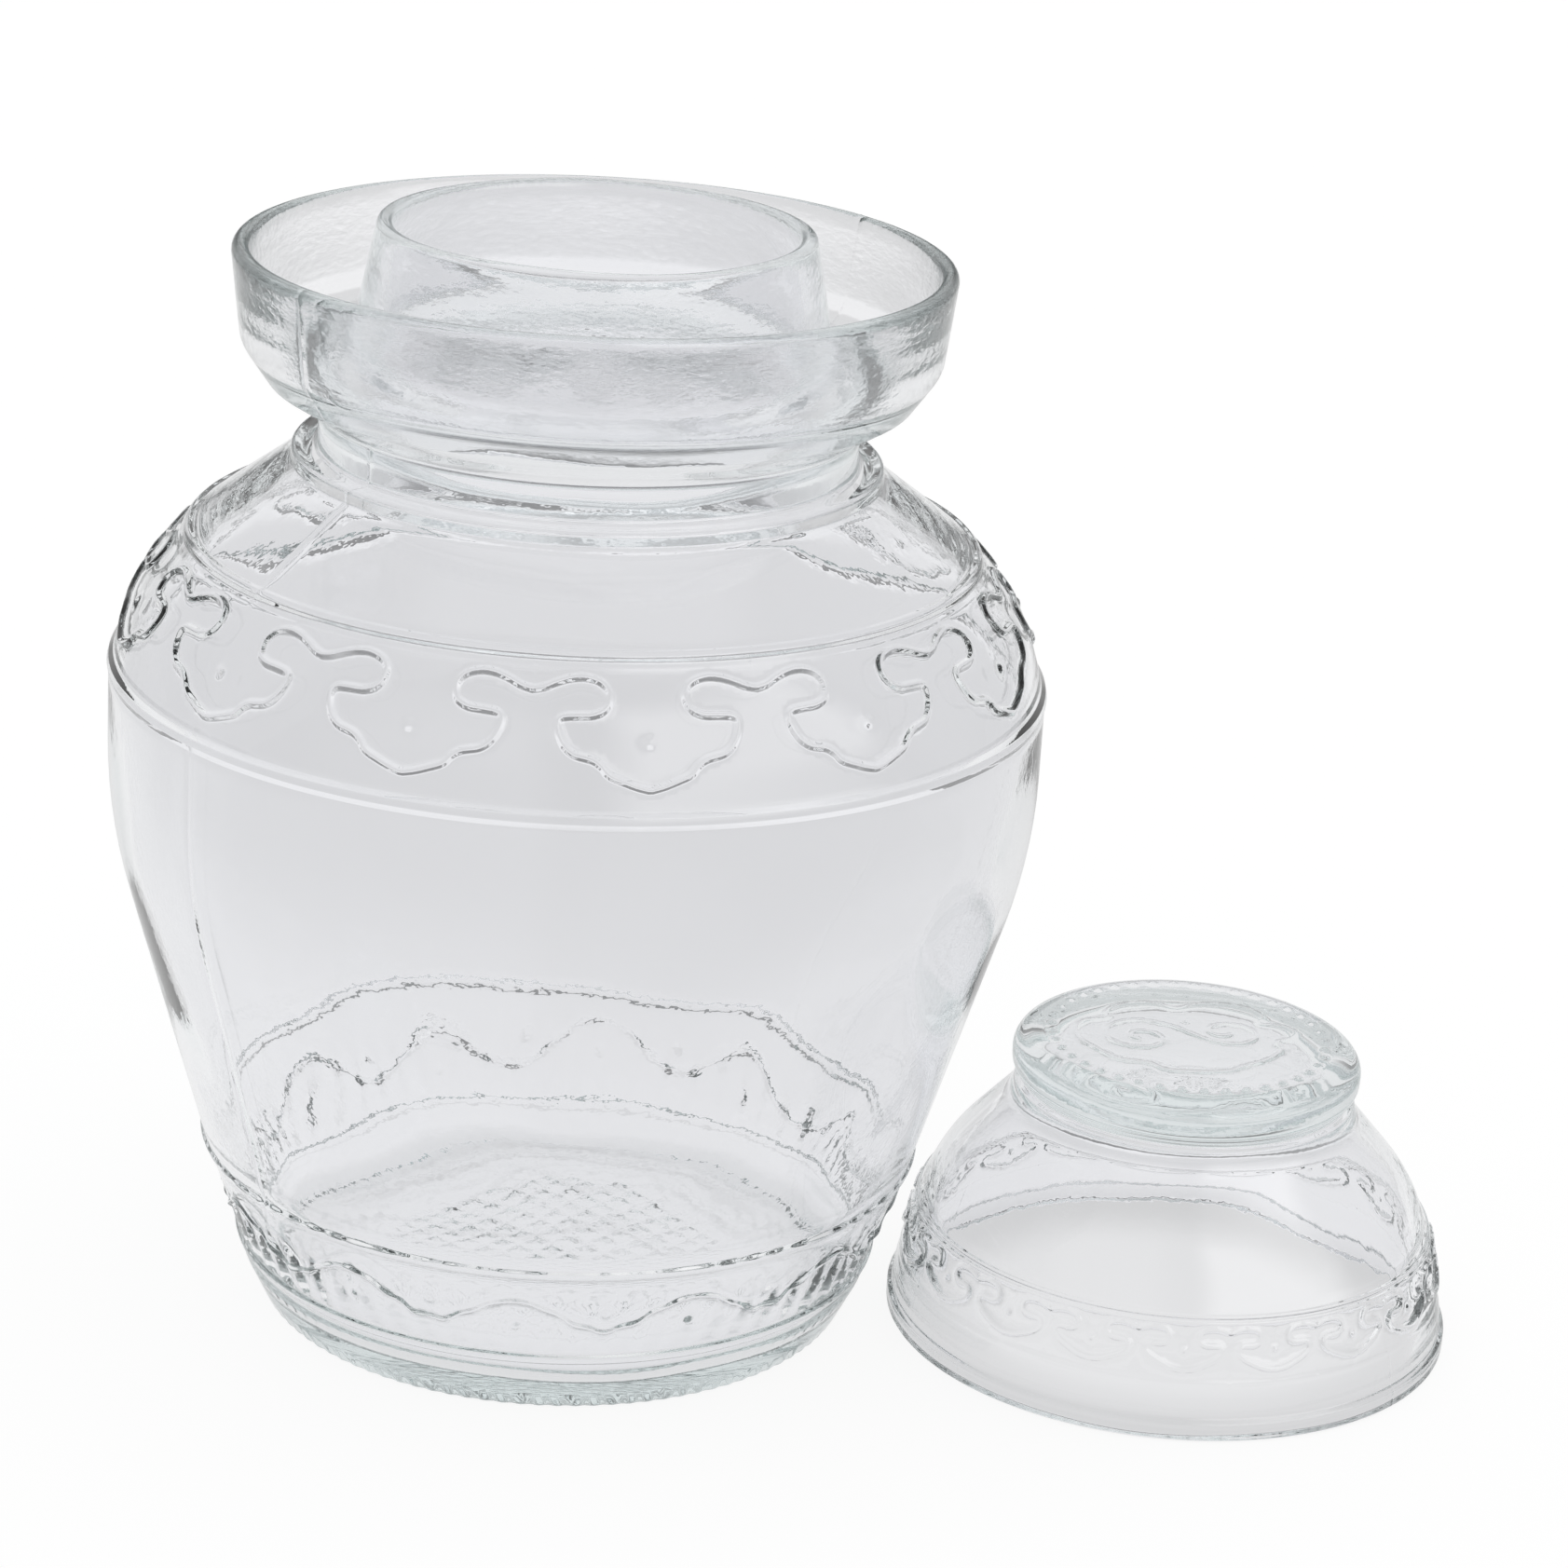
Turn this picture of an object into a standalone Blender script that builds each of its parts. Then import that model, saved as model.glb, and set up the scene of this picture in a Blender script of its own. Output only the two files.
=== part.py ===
"""A pressed glass pickle jar with a water-seal moat round its neck, and its bowl-shaped lid.

The jar stands on a flat surface and the lid lies mouth down on the same surface beside it.
Lengths are in metres and +Z is up. The origin is on that surface, under the middle of the pair.
Both pieces are turned: each is an outline of radii and heights, swept round a vertical axis.
"""

import math

import bpy
from mathutils import Vector

# Jar heights, each counted up from the one before, starting on the standing surface
FOOT_HEIGHT = 0.0121
FOOT_BAND_HEIGHT = 0.0195
BODY_HEIGHT = 0.0901
BELLY_STEP_HEIGHT = 0.0023
SHOULDER_BAND_HEIGHT = 0.0237
UPPER_SHOULDER_HEIGHT = 0.0143
NECK_STEP_HEIGHT = 0.0015
NECK_HEIGHT = 0.0070
MOAT_FLARE_HEIGHT = 0.0058
MOAT_BELLY_HEIGHT = 0.0066
MOAT_WALL_HEIGHT = 0.0169
COLLAR_ABOVE_MOAT = 0.0047

# Jar outside radii, from the foot up
STANDING_RADIUS = 0.0552
FOOT_RADIUS = 0.0600
FOOT_BAND_RADIUS = 0.0668
BELLY_RADIUS = 0.0851
BELLY_STEP = 0.0008
SHOULDER_TURN_RADIUS = 0.0806
SHOULDER_BAND_RADIUS = 0.0712
SHOULDER_TOP_RADIUS = 0.0532
NECK_RADIUS = 0.0485
MOAT_BASE_RADIUS = 0.0580
MOAT_CREASE_RADIUS = 0.0626
MOAT_RIM_RADIUS = 0.0645
COLLAR_BASE_RADIUS = 0.0435

# Jar walls and floor
MOUTH_RADIUS = 0.0357
COLLAR_RIM_WALL = 0.0032
NECK_WALL = 0.0050
MOAT_RIM_WALL = 0.0033
MOAT_BASE_WALL = 0.0034
MOAT_FLOOR_WALL = 0.0047
BODY_WALL = 0.0036
FLOOR_WALL = 0.0040
FLOOR_CROWN = 0.0010
STANDING_RING_WIDTH = 0.0095
PUSH_UP_STEP = 0.0010
PUSH_UP_HEIGHT = 0.0015

# Where the bends of the jar's outline lie, as shares of the stretch that holds them
BODY_TURN_SHARE = 0.70
SHOULDER_TURN_SHARE = 0.54
FOOT_TURN_SHARE = 0.70
FOOT_TAPER_SHARE = 0.86

# Jar roundings
MOUTH_ROUNDING = 0.0008
MOAT_RIM_ROUNDING = 0.0010
COLLAR_FOOT_ROUNDING = 0.0025
MOAT_CORNER_ROUNDING = 0.0035
MOAT_CREASE_ROUNDING = 0.0060
MOAT_BASE_ROUNDING = 0.0014
NECK_ROUNDING = 0.0020
SHOULDER_TOP_ROUNDING = 0.0012
SHOULDER_TURN_ROUNDING = 0.0500
BODY_TURN_ROUNDING = 0.1120
FOOT_TURN_ROUNDING = 0.0060
INNER_NECK_ROUNDING = 0.0080
INNER_SHOULDER_ROUNDING = 0.0200
INNER_FLOOR_ROUNDING = 0.0090

# Raised ridges round the jar
RIDGE_WIDTH = 0.0024
RIDGE_PROUD = 0.0006

# Lid heights, from the surface it lies on
LID_HEIGHT = 0.0572
KNOB_TOP_FALL = 0.0022
KNOB_THICKNESS = 0.0070
KNOB_UNDERCUT_HEIGHT = 0.0021
KNOB_COLLAR_STEP = 0.0005
KNOB_COLLAR_HEIGHT = 0.0034
DOME_HEIGHT = 0.0236
LID_BAND_HEIGHT = 0.0138
LID_FLANGE_HEIGHT = 0.0043
LID_CREST_HEIGHT = 0.0132

# Lid radii
LID_RIM_RADIUS = 0.05305
LID_FLANGE_STEP = 0.0008
LID_BAND_RADIUS = 0.0520
LID_SHOULDER_RADIUS = 0.0491
DOME_TURN_RADIUS = 0.0443
DOME_TOP_RADIUS = 0.0326
KNOB_COLLAR_RADIUS = 0.0318
KNOB_NECK_RADIUS = 0.0302
KNOB_RADIUS = 0.0326
KNOB_TOP_RADIUS = 0.0284
LID_WALL = 0.0034
DOME_TURN_SHARE = 0.56

# Lid roundings and ridges
KNOB_TOP_ROUNDING = 0.0080
KNOB_ROUNDING = 0.0034
KNOB_COLLAR_ROUNDING = 0.0020
DOME_ROUNDING = 0.0600
LID_BAND_ROUNDING = 0.0400
LID_FLANGE_ROUNDING = 0.0005
LID_RIM_ROUNDING = 0.0006
LID_CREST_ROUNDING = 0.0150
LID_RIDGE_WIDTH = 0.0014
LID_RIDGE_PROUD = 0.0004
LID_RIDGE_GAP = 0.0006

# Where the lid's axis lies, seen from the jar's axis
LID_TO_THE_RIGHT = 0.1167
LID_TOWARDS_FRONT = 0.0067

# How finely the turned shapes are faceted
STEPS_ROUND = 48
CHORD_ERROR = 0.00012
MERGE_DISTANCE = 0.00001

# Glass
GLASS_COLOR = (0.80, 0.85, 0.84, 1.0)
GLASS_ROUGHNESS = 0.03
GLASS_IOR = 1.52
GLASS_ALPHA = 0.35


def clear_scene():
    for leftover in list(bpy.data.objects):
        bpy.data.objects.remove(leftover)


def arc_through(corner, before, after, rounding):
    """The points of the arc that rounds the corner between the runs to before and to after."""
    to_before = before - corner
    to_after = after - corner
    turn = math.pi - to_before.angle(to_after)
    longest = min(to_before.length, to_after.length) / 2
    reach = min(rounding * math.tan(turn / 2), longest)
    radius = reach / math.tan(turn / 2)
    start = corner + to_before.normalized() * reach
    middle_way = (to_before.normalized() + to_after.normalized()).normalized()
    centre = corner + middle_way * (radius / math.cos(turn / 2))
    finest = 2 * math.acos(max(0.0, 1 - CHORD_ERROR / radius))
    count = max(1, math.ceil(turn / finest))
    side = 1 if to_before.cross(to_after) < 0 else -1
    spoke = start - centre
    points = []
    for step in range(count + 1):
        angle = side * turn * step / count
        turned_x = spoke.x * math.cos(angle) - spoke.y * math.sin(angle)
        turned_y = spoke.x * math.sin(angle) + spoke.y * math.cos(angle)
        points.append(centre + Vector((turned_x, turned_y)))
    return points


def rounded(corners):
    """The outline through (radius, height, rounding) corners, with an arc at each rounded one."""
    places = [Vector(corner[:2]) for corner in corners]
    outline = []
    for index, place in enumerate(places):
        rounding = corners[index][2]
        if rounding == 0 or index in (0, len(places) - 1):
            outline.append(place)
        else:
            outline.extend(arc_through(place, places[index - 1], places[index + 1], rounding))
    return outline


def ridge(above, here, below, width, proud):
    """The four corners of a raised ridge, where the wall runs from above through here to below."""
    place = Vector(here[:2])
    up = (Vector(above[:2]) - place).normalized()
    down = (Vector(below[:2]) - place).normalized()
    along = (down - up).normalized()
    out = Vector((-along.y, along.x)) * proud
    points = [
        place + up * (width / 2),
        place + up * (width / 4) + out,
        place + down * (width / 4) + out,
        place + down * (width / 2),
    ]
    return [(point.x, point.y, 0) for point in points]


def inset(corners, wall):
    """The corners of the inner face of a wall whose outer face runs down through these corners."""
    places = [Vector(corner[:2]) for corner in corners]
    runs = [(low - high).normalized() for high, low in zip(places, places[1:])]
    inward = [Vector((run.y, -run.x)) * wall for run in runs]
    inner = []
    for index, place in enumerate(places):
        if index == 0:
            moved = place + inward[0]
        elif index == len(runs):
            moved = place + inward[-1]
        else:
            both = inward[index - 1] + inward[index]
            moved = place + both * (2 * wall * wall / both.length_squared)
        rounding = corners[index][2]
        inner.append((moved.x, moved.y, max(rounding - wall, 0)))
    return inner


def at_height(top, bottom, height):
    """The radius at this height on the straight line through two corners."""
    share = (top[1] - height) / (top[1] - bottom[1])
    return top[0] + (bottom[0] - top[0]) * share


def between(start, end, share):
    return start + (end - start) * share


def jar_heights():
    """Every named height of the jar's outside, added up from the standing surface."""
    stretches = {
        "foot": FOOT_HEIGHT,
        "foot_band": FOOT_BAND_HEIGHT,
        "body": BODY_HEIGHT,
        "belly_step": BELLY_STEP_HEIGHT,
        "shoulder_band": SHOULDER_BAND_HEIGHT,
        "shoulder": UPPER_SHOULDER_HEIGHT,
        "neck_step": NECK_STEP_HEIGHT,
        "neck": NECK_HEIGHT,
        "moat_flare": MOAT_FLARE_HEIGHT,
        "moat_belly": MOAT_BELLY_HEIGHT,
        "moat_wall": MOAT_WALL_HEIGHT,
        "mouth": COLLAR_ABOVE_MOAT,
    }
    heights = {}
    total = 0
    for name, stretch in stretches.items():
        total += stretch
        heights[name] = total
    return heights


def jar_wall_corners(top):
    """The jar's blown wall from the top of its shoulder down to its foot, without the ridges."""
    body_turn = between(top["foot_band"], top["body"], BODY_TURN_SHARE)
    shoulder_turn = between(top["belly_step"], top["shoulder_band"], SHOULDER_TURN_SHARE)
    return {
        "shoulder_top": (SHOULDER_TOP_RADIUS, top["shoulder"], SHOULDER_TOP_ROUNDING),
        "upper_ridge": (SHOULDER_BAND_RADIUS, top["shoulder_band"], 0),
        "shoulder_turn": (SHOULDER_TURN_RADIUS, shoulder_turn, SHOULDER_TURN_ROUNDING),
        "belly_step": (BELLY_RADIUS - BELLY_STEP, top["belly_step"], 0),
        "belly_edge": (BELLY_RADIUS, top["body"], 0),
        "body_turn": (BELLY_RADIUS, body_turn, BODY_TURN_ROUNDING),
        "lower_ridge": (FOOT_BAND_RADIUS, top["foot_band"], 0),
        "foot_ridge": (FOOT_RADIUS, top["foot"], 0),
    }


def jar_outside(top, wall):
    """The jar's outside, from the outer edge of its mouth down to the standing ring."""
    moat_rim = top["moat_wall"]
    moat_floor = top["moat_flare"] + MOAT_FLOOR_WALL
    moat_floor_radius = MOAT_BASE_RADIUS - MOAT_BASE_WALL + MOAT_FLOOR_WALL / 2
    mouth_edge = MOUTH_RADIUS + COLLAR_RIM_WALL
    foot_turn = top["foot"] * FOOT_TURN_SHARE
    foot_turn_radius = between(STANDING_RADIUS, FOOT_RADIUS, FOOT_TAPER_SHARE)
    above_upper = wall["shoulder_top"]
    below_foot = (foot_turn_radius, foot_turn, FOOT_TURN_ROUNDING)
    ridge_size = (RIDGE_WIDTH, RIDGE_PROUD)
    return [
        (mouth_edge, top["mouth"], MOUTH_ROUNDING),
        (COLLAR_BASE_RADIUS, moat_floor, COLLAR_FOOT_ROUNDING),
        (moat_floor_radius, moat_floor, MOAT_CORNER_ROUNDING),
        (MOAT_RIM_RADIUS - MOAT_RIM_WALL, moat_rim, MOAT_RIM_ROUNDING),
        (MOAT_RIM_RADIUS, moat_rim, MOAT_RIM_ROUNDING),
        (MOAT_CREASE_RADIUS, top["moat_belly"], MOAT_CREASE_ROUNDING),
        (MOAT_BASE_RADIUS, top["moat_flare"], MOAT_BASE_ROUNDING),
        (NECK_RADIUS, top["neck"], NECK_ROUNDING),
        (NECK_RADIUS, top["neck_step"], NECK_ROUNDING / 2),
        wall["shoulder_top"],
        *ridge(above_upper, wall["upper_ridge"], wall["shoulder_turn"], *ridge_size),
        wall["shoulder_turn"],
        wall["belly_step"],
        wall["belly_edge"],
        wall["body_turn"],
        *ridge(wall["body_turn"], wall["lower_ridge"], wall["foot_ridge"], *ridge_size),
        *ridge(wall["lower_ridge"], wall["foot_ridge"], below_foot, *ridge_size),
        below_foot,
        (STANDING_RADIUS, 0, 0),
    ]


def jar_underside():
    """The flat standing ring and the pushed-up middle of the jar's base, out to in."""
    ring_inside = STANDING_RADIUS - STANDING_RING_WIDTH
    return [
        (ring_inside, 0, 0),
        (ring_inside - PUSH_UP_STEP, PUSH_UP_STEP, 0),
        (0, PUSH_UP_HEIGHT, 0),
    ]


def jar_inside(top, wall):
    """The jar's inside, from the middle of its floor up to the inner edge of its mouth."""
    outer = [wall[name] for name in wall if name != "belly_step"]
    inner = inset(outer, BODY_WALL)
    moat_floor = top["moat_flare"] + MOAT_FLOOR_WALL
    floor = PUSH_UP_HEIGHT + FLOOR_WALL
    shoulder_top = (*inner[0][:2], INNER_NECK_ROUNDING)
    upper_bend = (*inner[1][:2], INNER_SHOULDER_ROUNDING)
    floor_radius = at_height(inner[-2], inner[-1], floor)
    downwards = [
        (MOUTH_RADIUS, top["mouth"], MOUTH_ROUNDING),
        (COLLAR_BASE_RADIUS - NECK_WALL, moat_floor, INNER_NECK_ROUNDING),
        (NECK_RADIUS - NECK_WALL, between(top["neck_step"], top["neck"], 1 / 2), INNER_NECK_ROUNDING),
        shoulder_top,
        upper_bend,
        *inner[2:-1],
        (floor_radius, floor, INNER_FLOOR_ROUNDING),
        (0, floor + FLOOR_CROWN, 0),
    ]
    return downwards[::-1]


def jar_corners():
    top = jar_heights()
    wall = jar_wall_corners(top)
    return jar_inside(top, wall) + jar_outside(top, wall) + jar_underside()


def lid_wall_corners():
    """The lid's pressed wall from under its knob down to its rim, without ridges and flange."""
    collar_top = LID_HEIGHT - KNOB_THICKNESS - KNOB_UNDERCUT_HEIGHT - KNOB_COLLAR_STEP
    dome_top = collar_top - KNOB_COLLAR_HEIGHT
    shoulder = dome_top - DOME_HEIGHT
    band = shoulder - LID_BAND_HEIGHT
    dome_turn = between(dome_top, shoulder, DOME_TURN_SHARE)
    return {
        "dome_top": (DOME_TOP_RADIUS, dome_top, KNOB_COLLAR_ROUNDING),
        "dome_turn": (DOME_TURN_RADIUS, dome_turn, DOME_ROUNDING),
        "shoulder": (LID_SHOULDER_RADIUS, shoulder, 0),
        "band": (LID_BAND_RADIUS, band, LID_BAND_ROUNDING),
        "rim": (LID_RIM_RADIUS - LID_FLANGE_STEP, 0, 0),
    }


def lid_outside(wall):
    """The lid's outside, from the middle of its knob down to the outer edge of its rim."""
    knob_under = LID_HEIGHT - KNOB_THICKNESS
    neck = knob_under - KNOB_UNDERCUT_HEIGHT
    flange_radius = at_height(wall["band"], wall["rim"], LID_FLANGE_HEIGHT)
    shoulder = Vector(wall["shoulder"][:2])
    up = (Vector(wall["dome_turn"][:2]) - shoulder).normalized()
    down = (Vector(wall["band"][:2]) - shoulder).normalized()
    apart = (LID_RIDGE_WIDTH + LID_RIDGE_GAP) / 2
    ridge_size = (LID_RIDGE_WIDTH, LID_RIDGE_PROUD)
    return [
        (0, LID_HEIGHT, 0),
        (KNOB_TOP_RADIUS, LID_HEIGHT, KNOB_TOP_ROUNDING),
        (KNOB_RADIUS, LID_HEIGHT - KNOB_TOP_FALL, KNOB_ROUNDING),
        (KNOB_RADIUS, knob_under, KNOB_ROUNDING),
        (KNOB_NECK_RADIUS, neck, 0),
        (KNOB_COLLAR_RADIUS, neck - KNOB_COLLAR_STEP, 0),
        wall["dome_top"],
        wall["dome_turn"],
        *ridge(wall["dome_turn"], shoulder + up * apart, wall["shoulder"], *ridge_size),
        *ridge(wall["shoulder"], shoulder + down * apart, wall["band"], *ridge_size),
        wall["band"],
        (flange_radius, LID_FLANGE_HEIGHT, LID_FLANGE_ROUNDING),
        (LID_RIM_RADIUS, LID_FLANGE_HEIGHT - LID_FLANGE_STEP, LID_FLANGE_ROUNDING),
        (LID_RIM_RADIUS, 0, LID_RIM_ROUNDING),
    ]


def lid_inside(wall):
    """The lid's inside, from the inner edge of its rim up to the middle of its roof."""
    inner = inset(list(wall.values()), LID_WALL)
    roof = LID_HEIGHT - LID_CREST_HEIGHT
    roof_edge = at_height(inner[0], inner[1], roof)
    downwards = [
        (0, roof, 0),
        (roof_edge, roof, LID_CREST_ROUNDING),
        *inner[1:-1],
        (inner[-1][0], 0, LID_RIM_ROUNDING),
    ]
    return downwards[::-1]


def lid_corners():
    wall = lid_wall_corners()
    return lid_outside(wall) + lid_inside(wall)


def turned(name, outline, material, collection):
    """A closed body, swept round its own vertical axis from an outline in the XZ plane."""
    points = [(place.x, 0, place.y) for place in outline]
    edges = [(index, index + 1) for index in range(len(points) - 1)]
    mesh = bpy.data.meshes.new(name)
    mesh.from_pydata(points, edges, [])
    mesh.materials.append(material)
    body = bpy.data.objects.new(name, mesh)
    collection.objects.link(body)
    sweep = body.modifiers.new("turn", "SCREW")
    sweep.axis = "Z"
    sweep.steps = STEPS_ROUND
    sweep.render_steps = STEPS_ROUND
    sweep.use_merge_vertices = True
    sweep.merge_threshold = MERGE_DISTANCE
    sweep.use_smooth_shade = True
    return body


def glass(name):
    material = bpy.data.materials.new(name)
    material.use_nodes = True
    shader = material.node_tree.nodes["Principled BSDF"]
    shader.inputs["Base Color"].default_value = GLASS_COLOR
    shader.inputs["Roughness"].default_value = GLASS_ROUGHNESS
    shader.inputs["Metallic"].default_value = 0
    shader.inputs["IOR"].default_value = GLASS_IOR
    shader.inputs["Transmission Weight"].default_value = 1
    material.diffuse_color = (*GLASS_COLOR[:3], GLASS_ALPHA)
    return material


def jar_place():
    """Where the jar's axis stands, so that the pair is centred on the origin along X."""
    reach_right = LID_TO_THE_RIGHT + LID_RIM_RADIUS
    return Vector(((BELLY_RADIUS - reach_right) / 2, 0, 0))


def build():
    clear_scene()
    collection = bpy.data.collections.new("glass_pickle_jar")
    bpy.context.scene.collection.children.link(collection)
    jar = turned("jar", rounded(jar_corners()), glass("jar_glass"), collection)
    jar.location = jar_place()
    lid = turned("lid", rounded(lid_corners()), glass("lid_glass"), collection)
    lid.location = jar_place() + Vector((LID_TO_THE_RIGHT, -LID_TOWARDS_FRONT, 0))


build()
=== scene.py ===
"""The looks of a pressed glass pickle jar with a water-seal moat, and of its bowl-shaped lid.

Lengths are in metres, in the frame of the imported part. Each piece is one closed mesh of glass:
rings of points turned round the piece's own axis, with finer patches where ornament is pressed in.
Round a piece, a phase counts its ornament: 360 degrees of phase go once round, and the phase
runs a little unevenly, as the photographed ornament does.
"""

import math

import bpy
import numpy as np
from mathutils import Matrix, Vector, geometry, noise


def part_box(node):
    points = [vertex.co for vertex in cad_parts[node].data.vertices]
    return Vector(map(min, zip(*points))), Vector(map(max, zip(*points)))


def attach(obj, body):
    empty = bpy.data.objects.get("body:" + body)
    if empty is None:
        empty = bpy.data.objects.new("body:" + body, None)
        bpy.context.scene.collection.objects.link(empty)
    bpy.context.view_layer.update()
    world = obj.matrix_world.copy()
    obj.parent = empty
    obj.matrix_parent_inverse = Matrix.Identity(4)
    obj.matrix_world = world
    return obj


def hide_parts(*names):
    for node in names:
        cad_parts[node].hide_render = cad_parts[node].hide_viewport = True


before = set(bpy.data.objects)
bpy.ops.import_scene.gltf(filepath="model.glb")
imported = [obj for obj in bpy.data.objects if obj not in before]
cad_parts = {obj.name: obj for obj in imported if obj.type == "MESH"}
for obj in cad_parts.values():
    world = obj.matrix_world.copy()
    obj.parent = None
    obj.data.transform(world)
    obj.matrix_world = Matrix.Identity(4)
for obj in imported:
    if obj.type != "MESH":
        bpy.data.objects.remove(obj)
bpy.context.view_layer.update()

MM = 0.001

# The jar's stretches of height, from the standing surface up: each ends at what it names
JAR_STRETCHES = {
    "foot": 0.0121,
    "foot_band": 0.0195,
    "body": 0.0901,
    "belly_step": 0.0023,
    "shoulder_band": 0.0237,
    "shoulder": 0.0143,
    "neck_step": 0.0015,
    "neck": 0.0070,
    "moat_flare": 0.0058,
    "moat_belly": 0.0066,
    "moat_wall": 0.0169,
    "mouth": 0.0047,
}

# Jar outside radii, from the foot up
STANDING_RADIUS = 0.0552
FOOT_RADIUS = 0.0600
FOOT_BAND_RADIUS = 0.0668
BELLY_RADIUS = 0.0851
BELLY_STEP = 0.0008
SHOULDER_TURN_RADIUS = 0.0806
SHOULDER_BAND_RADIUS = 0.0712
SHOULDER_TOP_RADIUS = 0.0532
NECK_BEAD_DROP = 0.0010
NECK_BEAD_RISE = 0.0014
NECK_RADIUS = 0.0485
MOAT_BASE_RADIUS = 0.0580
MOAT_CREASE_RADIUS = 0.0626
MOAT_RIM_RADIUS = 0.0645
COLLAR_BASE_RADIUS = 0.0435

# Jar walls and floor
MOUTH_RADIUS = 0.0357
COLLAR_RIM_WALL = 0.0032
NECK_WALL = 0.0050
MOAT_RIM_WALL = 0.0033
MOAT_BASE_WALL = 0.0034
MOAT_FLOOR_WALL = 0.0047
BODY_WALL = 0.0036
FLOOR_WALL = 0.0040
FLOOR_CROWN = 0.0010
STANDING_RING_WIDTH = 0.0095
PUSH_UP_HEIGHT = 0.0015

# Where the bends of the jar's outline lie, as shares of the stretch that holds them
BODY_TURN_SHARE = 0.70
SHOULDER_TURN_SHARE = 0.54
FOOT_TURN_SHARE = 0.70
FOOT_TAPER_SHARE = 0.86

# Jar roundings
MOUTH_ROUNDING = 0.0013
MOAT_RIM_ROUNDING = 0.0015
COLLAR_FOOT_ROUNDING = 0.0025
MOAT_CORNER_ROUNDING = 0.0035
MOAT_CREASE_ROUNDING = 0.0060
MOAT_BASE_ROUNDING = 0.0014
NECK_ROUNDING = 0.0020
SHOULDER_TOP_ROUNDING = 0.0012
NECK_BEAD_ROUNDING = 0.0008
SHOULDER_TURN_ROUNDING = 0.0500
BODY_TURN_ROUNDING = 0.1120
FOOT_TURN_ROUNDING = 0.0060
HEEL_ROUNDING = 0.0012
PUSH_UP_ROUNDING = 0.0400
INNER_NECK_ROUNDING = 0.0080
INNER_SHOULDER_ROUNDING = 0.0200
INNER_FLOOR_ROUNDING = 0.0060

# Raised ridges round the jar
RIDGE_WIDTH = 0.0024
RIDGE_PROUD = 0.0006
RIDGE_ROUNDING = 0.0006
STEP_ROUNDING = 0.0005
BELLY_RIDGE_LEAD = 0.0008
BELLY_RIDGE_PROUD = 0.0003

# Lid heights, from the surface it lies on
LID_HEIGHT = 0.0572
KNOB_TOP_FALL = 0.0022
KNOB_THICKNESS = 0.0070
KNOB_UNDERCUT_HEIGHT = 0.0021
KNOB_COLLAR_STEP = 0.0005
KNOB_COLLAR_HEIGHT = 0.0034
DOME_HEIGHT = 0.0221
LID_BAND_HEIGHT = 0.0153
LID_FLANGE_HEIGHT = 0.0043
LID_CREST_HEIGHT = 0.0106

# Lid radii
LID_RIM_RADIUS = 0.05305
LID_FLANGE_STEP = 0.0008
LID_BAND_RADIUS = 0.0520
LID_SHOULDER_RADIUS = 0.0484
DOME_TURN_RADIUS = 0.0443
DOME_TOP_RADIUS = 0.0326
KNOB_COLLAR_RADIUS = 0.0318
KNOB_NECK_RADIUS = 0.0302
KNOB_RADIUS = 0.0326
KNOB_TOP_RADIUS = 0.0284
LID_WALL = 0.0034
DOME_TURN_SHARE = 0.597

# Lid roundings and ridges
KNOB_TOP_ROUNDING = 0.0080
KNOB_ROUNDING = 0.0034
KNOB_NECK_ROUNDING = 0.0006
KNOB_COLLAR_ROUNDING = 0.0080
DOME_ROUNDING = 0.0600
LID_BAND_ROUNDING = 0.0400
LID_FLANGE_ROUNDING = 0.0006
LID_RIM_ROUNDING = 0.0009
LID_CREST_ROUNDING = 0.0080
LID_RIDGE_WIDTH = 0.0009
LID_RIDGE_PROUD = 0.0003
LID_RIDGE_GAP = 0.0003
LID_RIDGE_ROUNDING = 0.0003

# How finely the surfaces are divided
CHORD_ERROR = 0.00002
ROW_GAP = 0.0025
JAR_COLUMNS = 240
LID_COLUMNS = 216
PATCH_GAP = 0.0017
NEAR_GAP = 0.0009
NEAR_REACH = 0.0017
RIM_CLEARANCE = 0.00026
RIB_GRAIN = 0.0006
FLAT_MAP_SCALE = 1000
MERGE_GAP = 1e-7
GRID_ROW_SHARE = 0.866
NEAR_SPACING = 0.6
FAR_SPACING = 0.55
SPOT_TRIES = 200
OUT_REACH = 0.0002
DOT_RINGS = ((1 / 3, 6), (2 / 3, 10), (1, 14))
PHASE_SLACK = 0.0016

# The ornament's turn: the phase of zero, how far the spacing swings, and how many go round
JAR_ZERO_TURN = 8.7
JAR_SWING_SHARE = 0.04
LID_ZERO_TURN = -3.4
LID_SWING_SHARE = 0.025
JAR_REPEATS = 12
LID_REPEATS = 18

# The shoulder's hanging lappets. The half curve runs from the tip up to the scroll: its points are
# shares of half a repeat's width, across from the middle, and of the drop, down from the top.
LAPPET_RIB_WIDTH = 0.0021
LAPPET_RIB_PROUD = 0.00070
LAPPET_DOT_WIDTH = 0.0036
LAPPET_DOT_PROUD = 0.0006
LAPPET_TOP = 0.0029
LAPPET_DROP = 0.0191
LAPPET_HALF_CURVE = (
    (0, 1), (0.10, 0.972), (0.20, 0.932), (0.33, 0.872), (0.39, 0.80), (0.46, 0.745),
    (0.53, 0.725), (0.62, 0.70), (0.70, 0.63), (0.755, 0.52), (0.768, 0.42), (0.72, 0.375),
    (0.60, 0.362), (0.47, 0.352), (0.37, 0.30), (0.33, 0.20), (0.345, 0.11), (0.42, 0.035),
    (0.55, 0), (0.68, 0.015), (0.80, 0.06), (0.90, 0.11), (1, 0.135),
)
LAPPET_DOT_SHARE = 0.585

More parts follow.
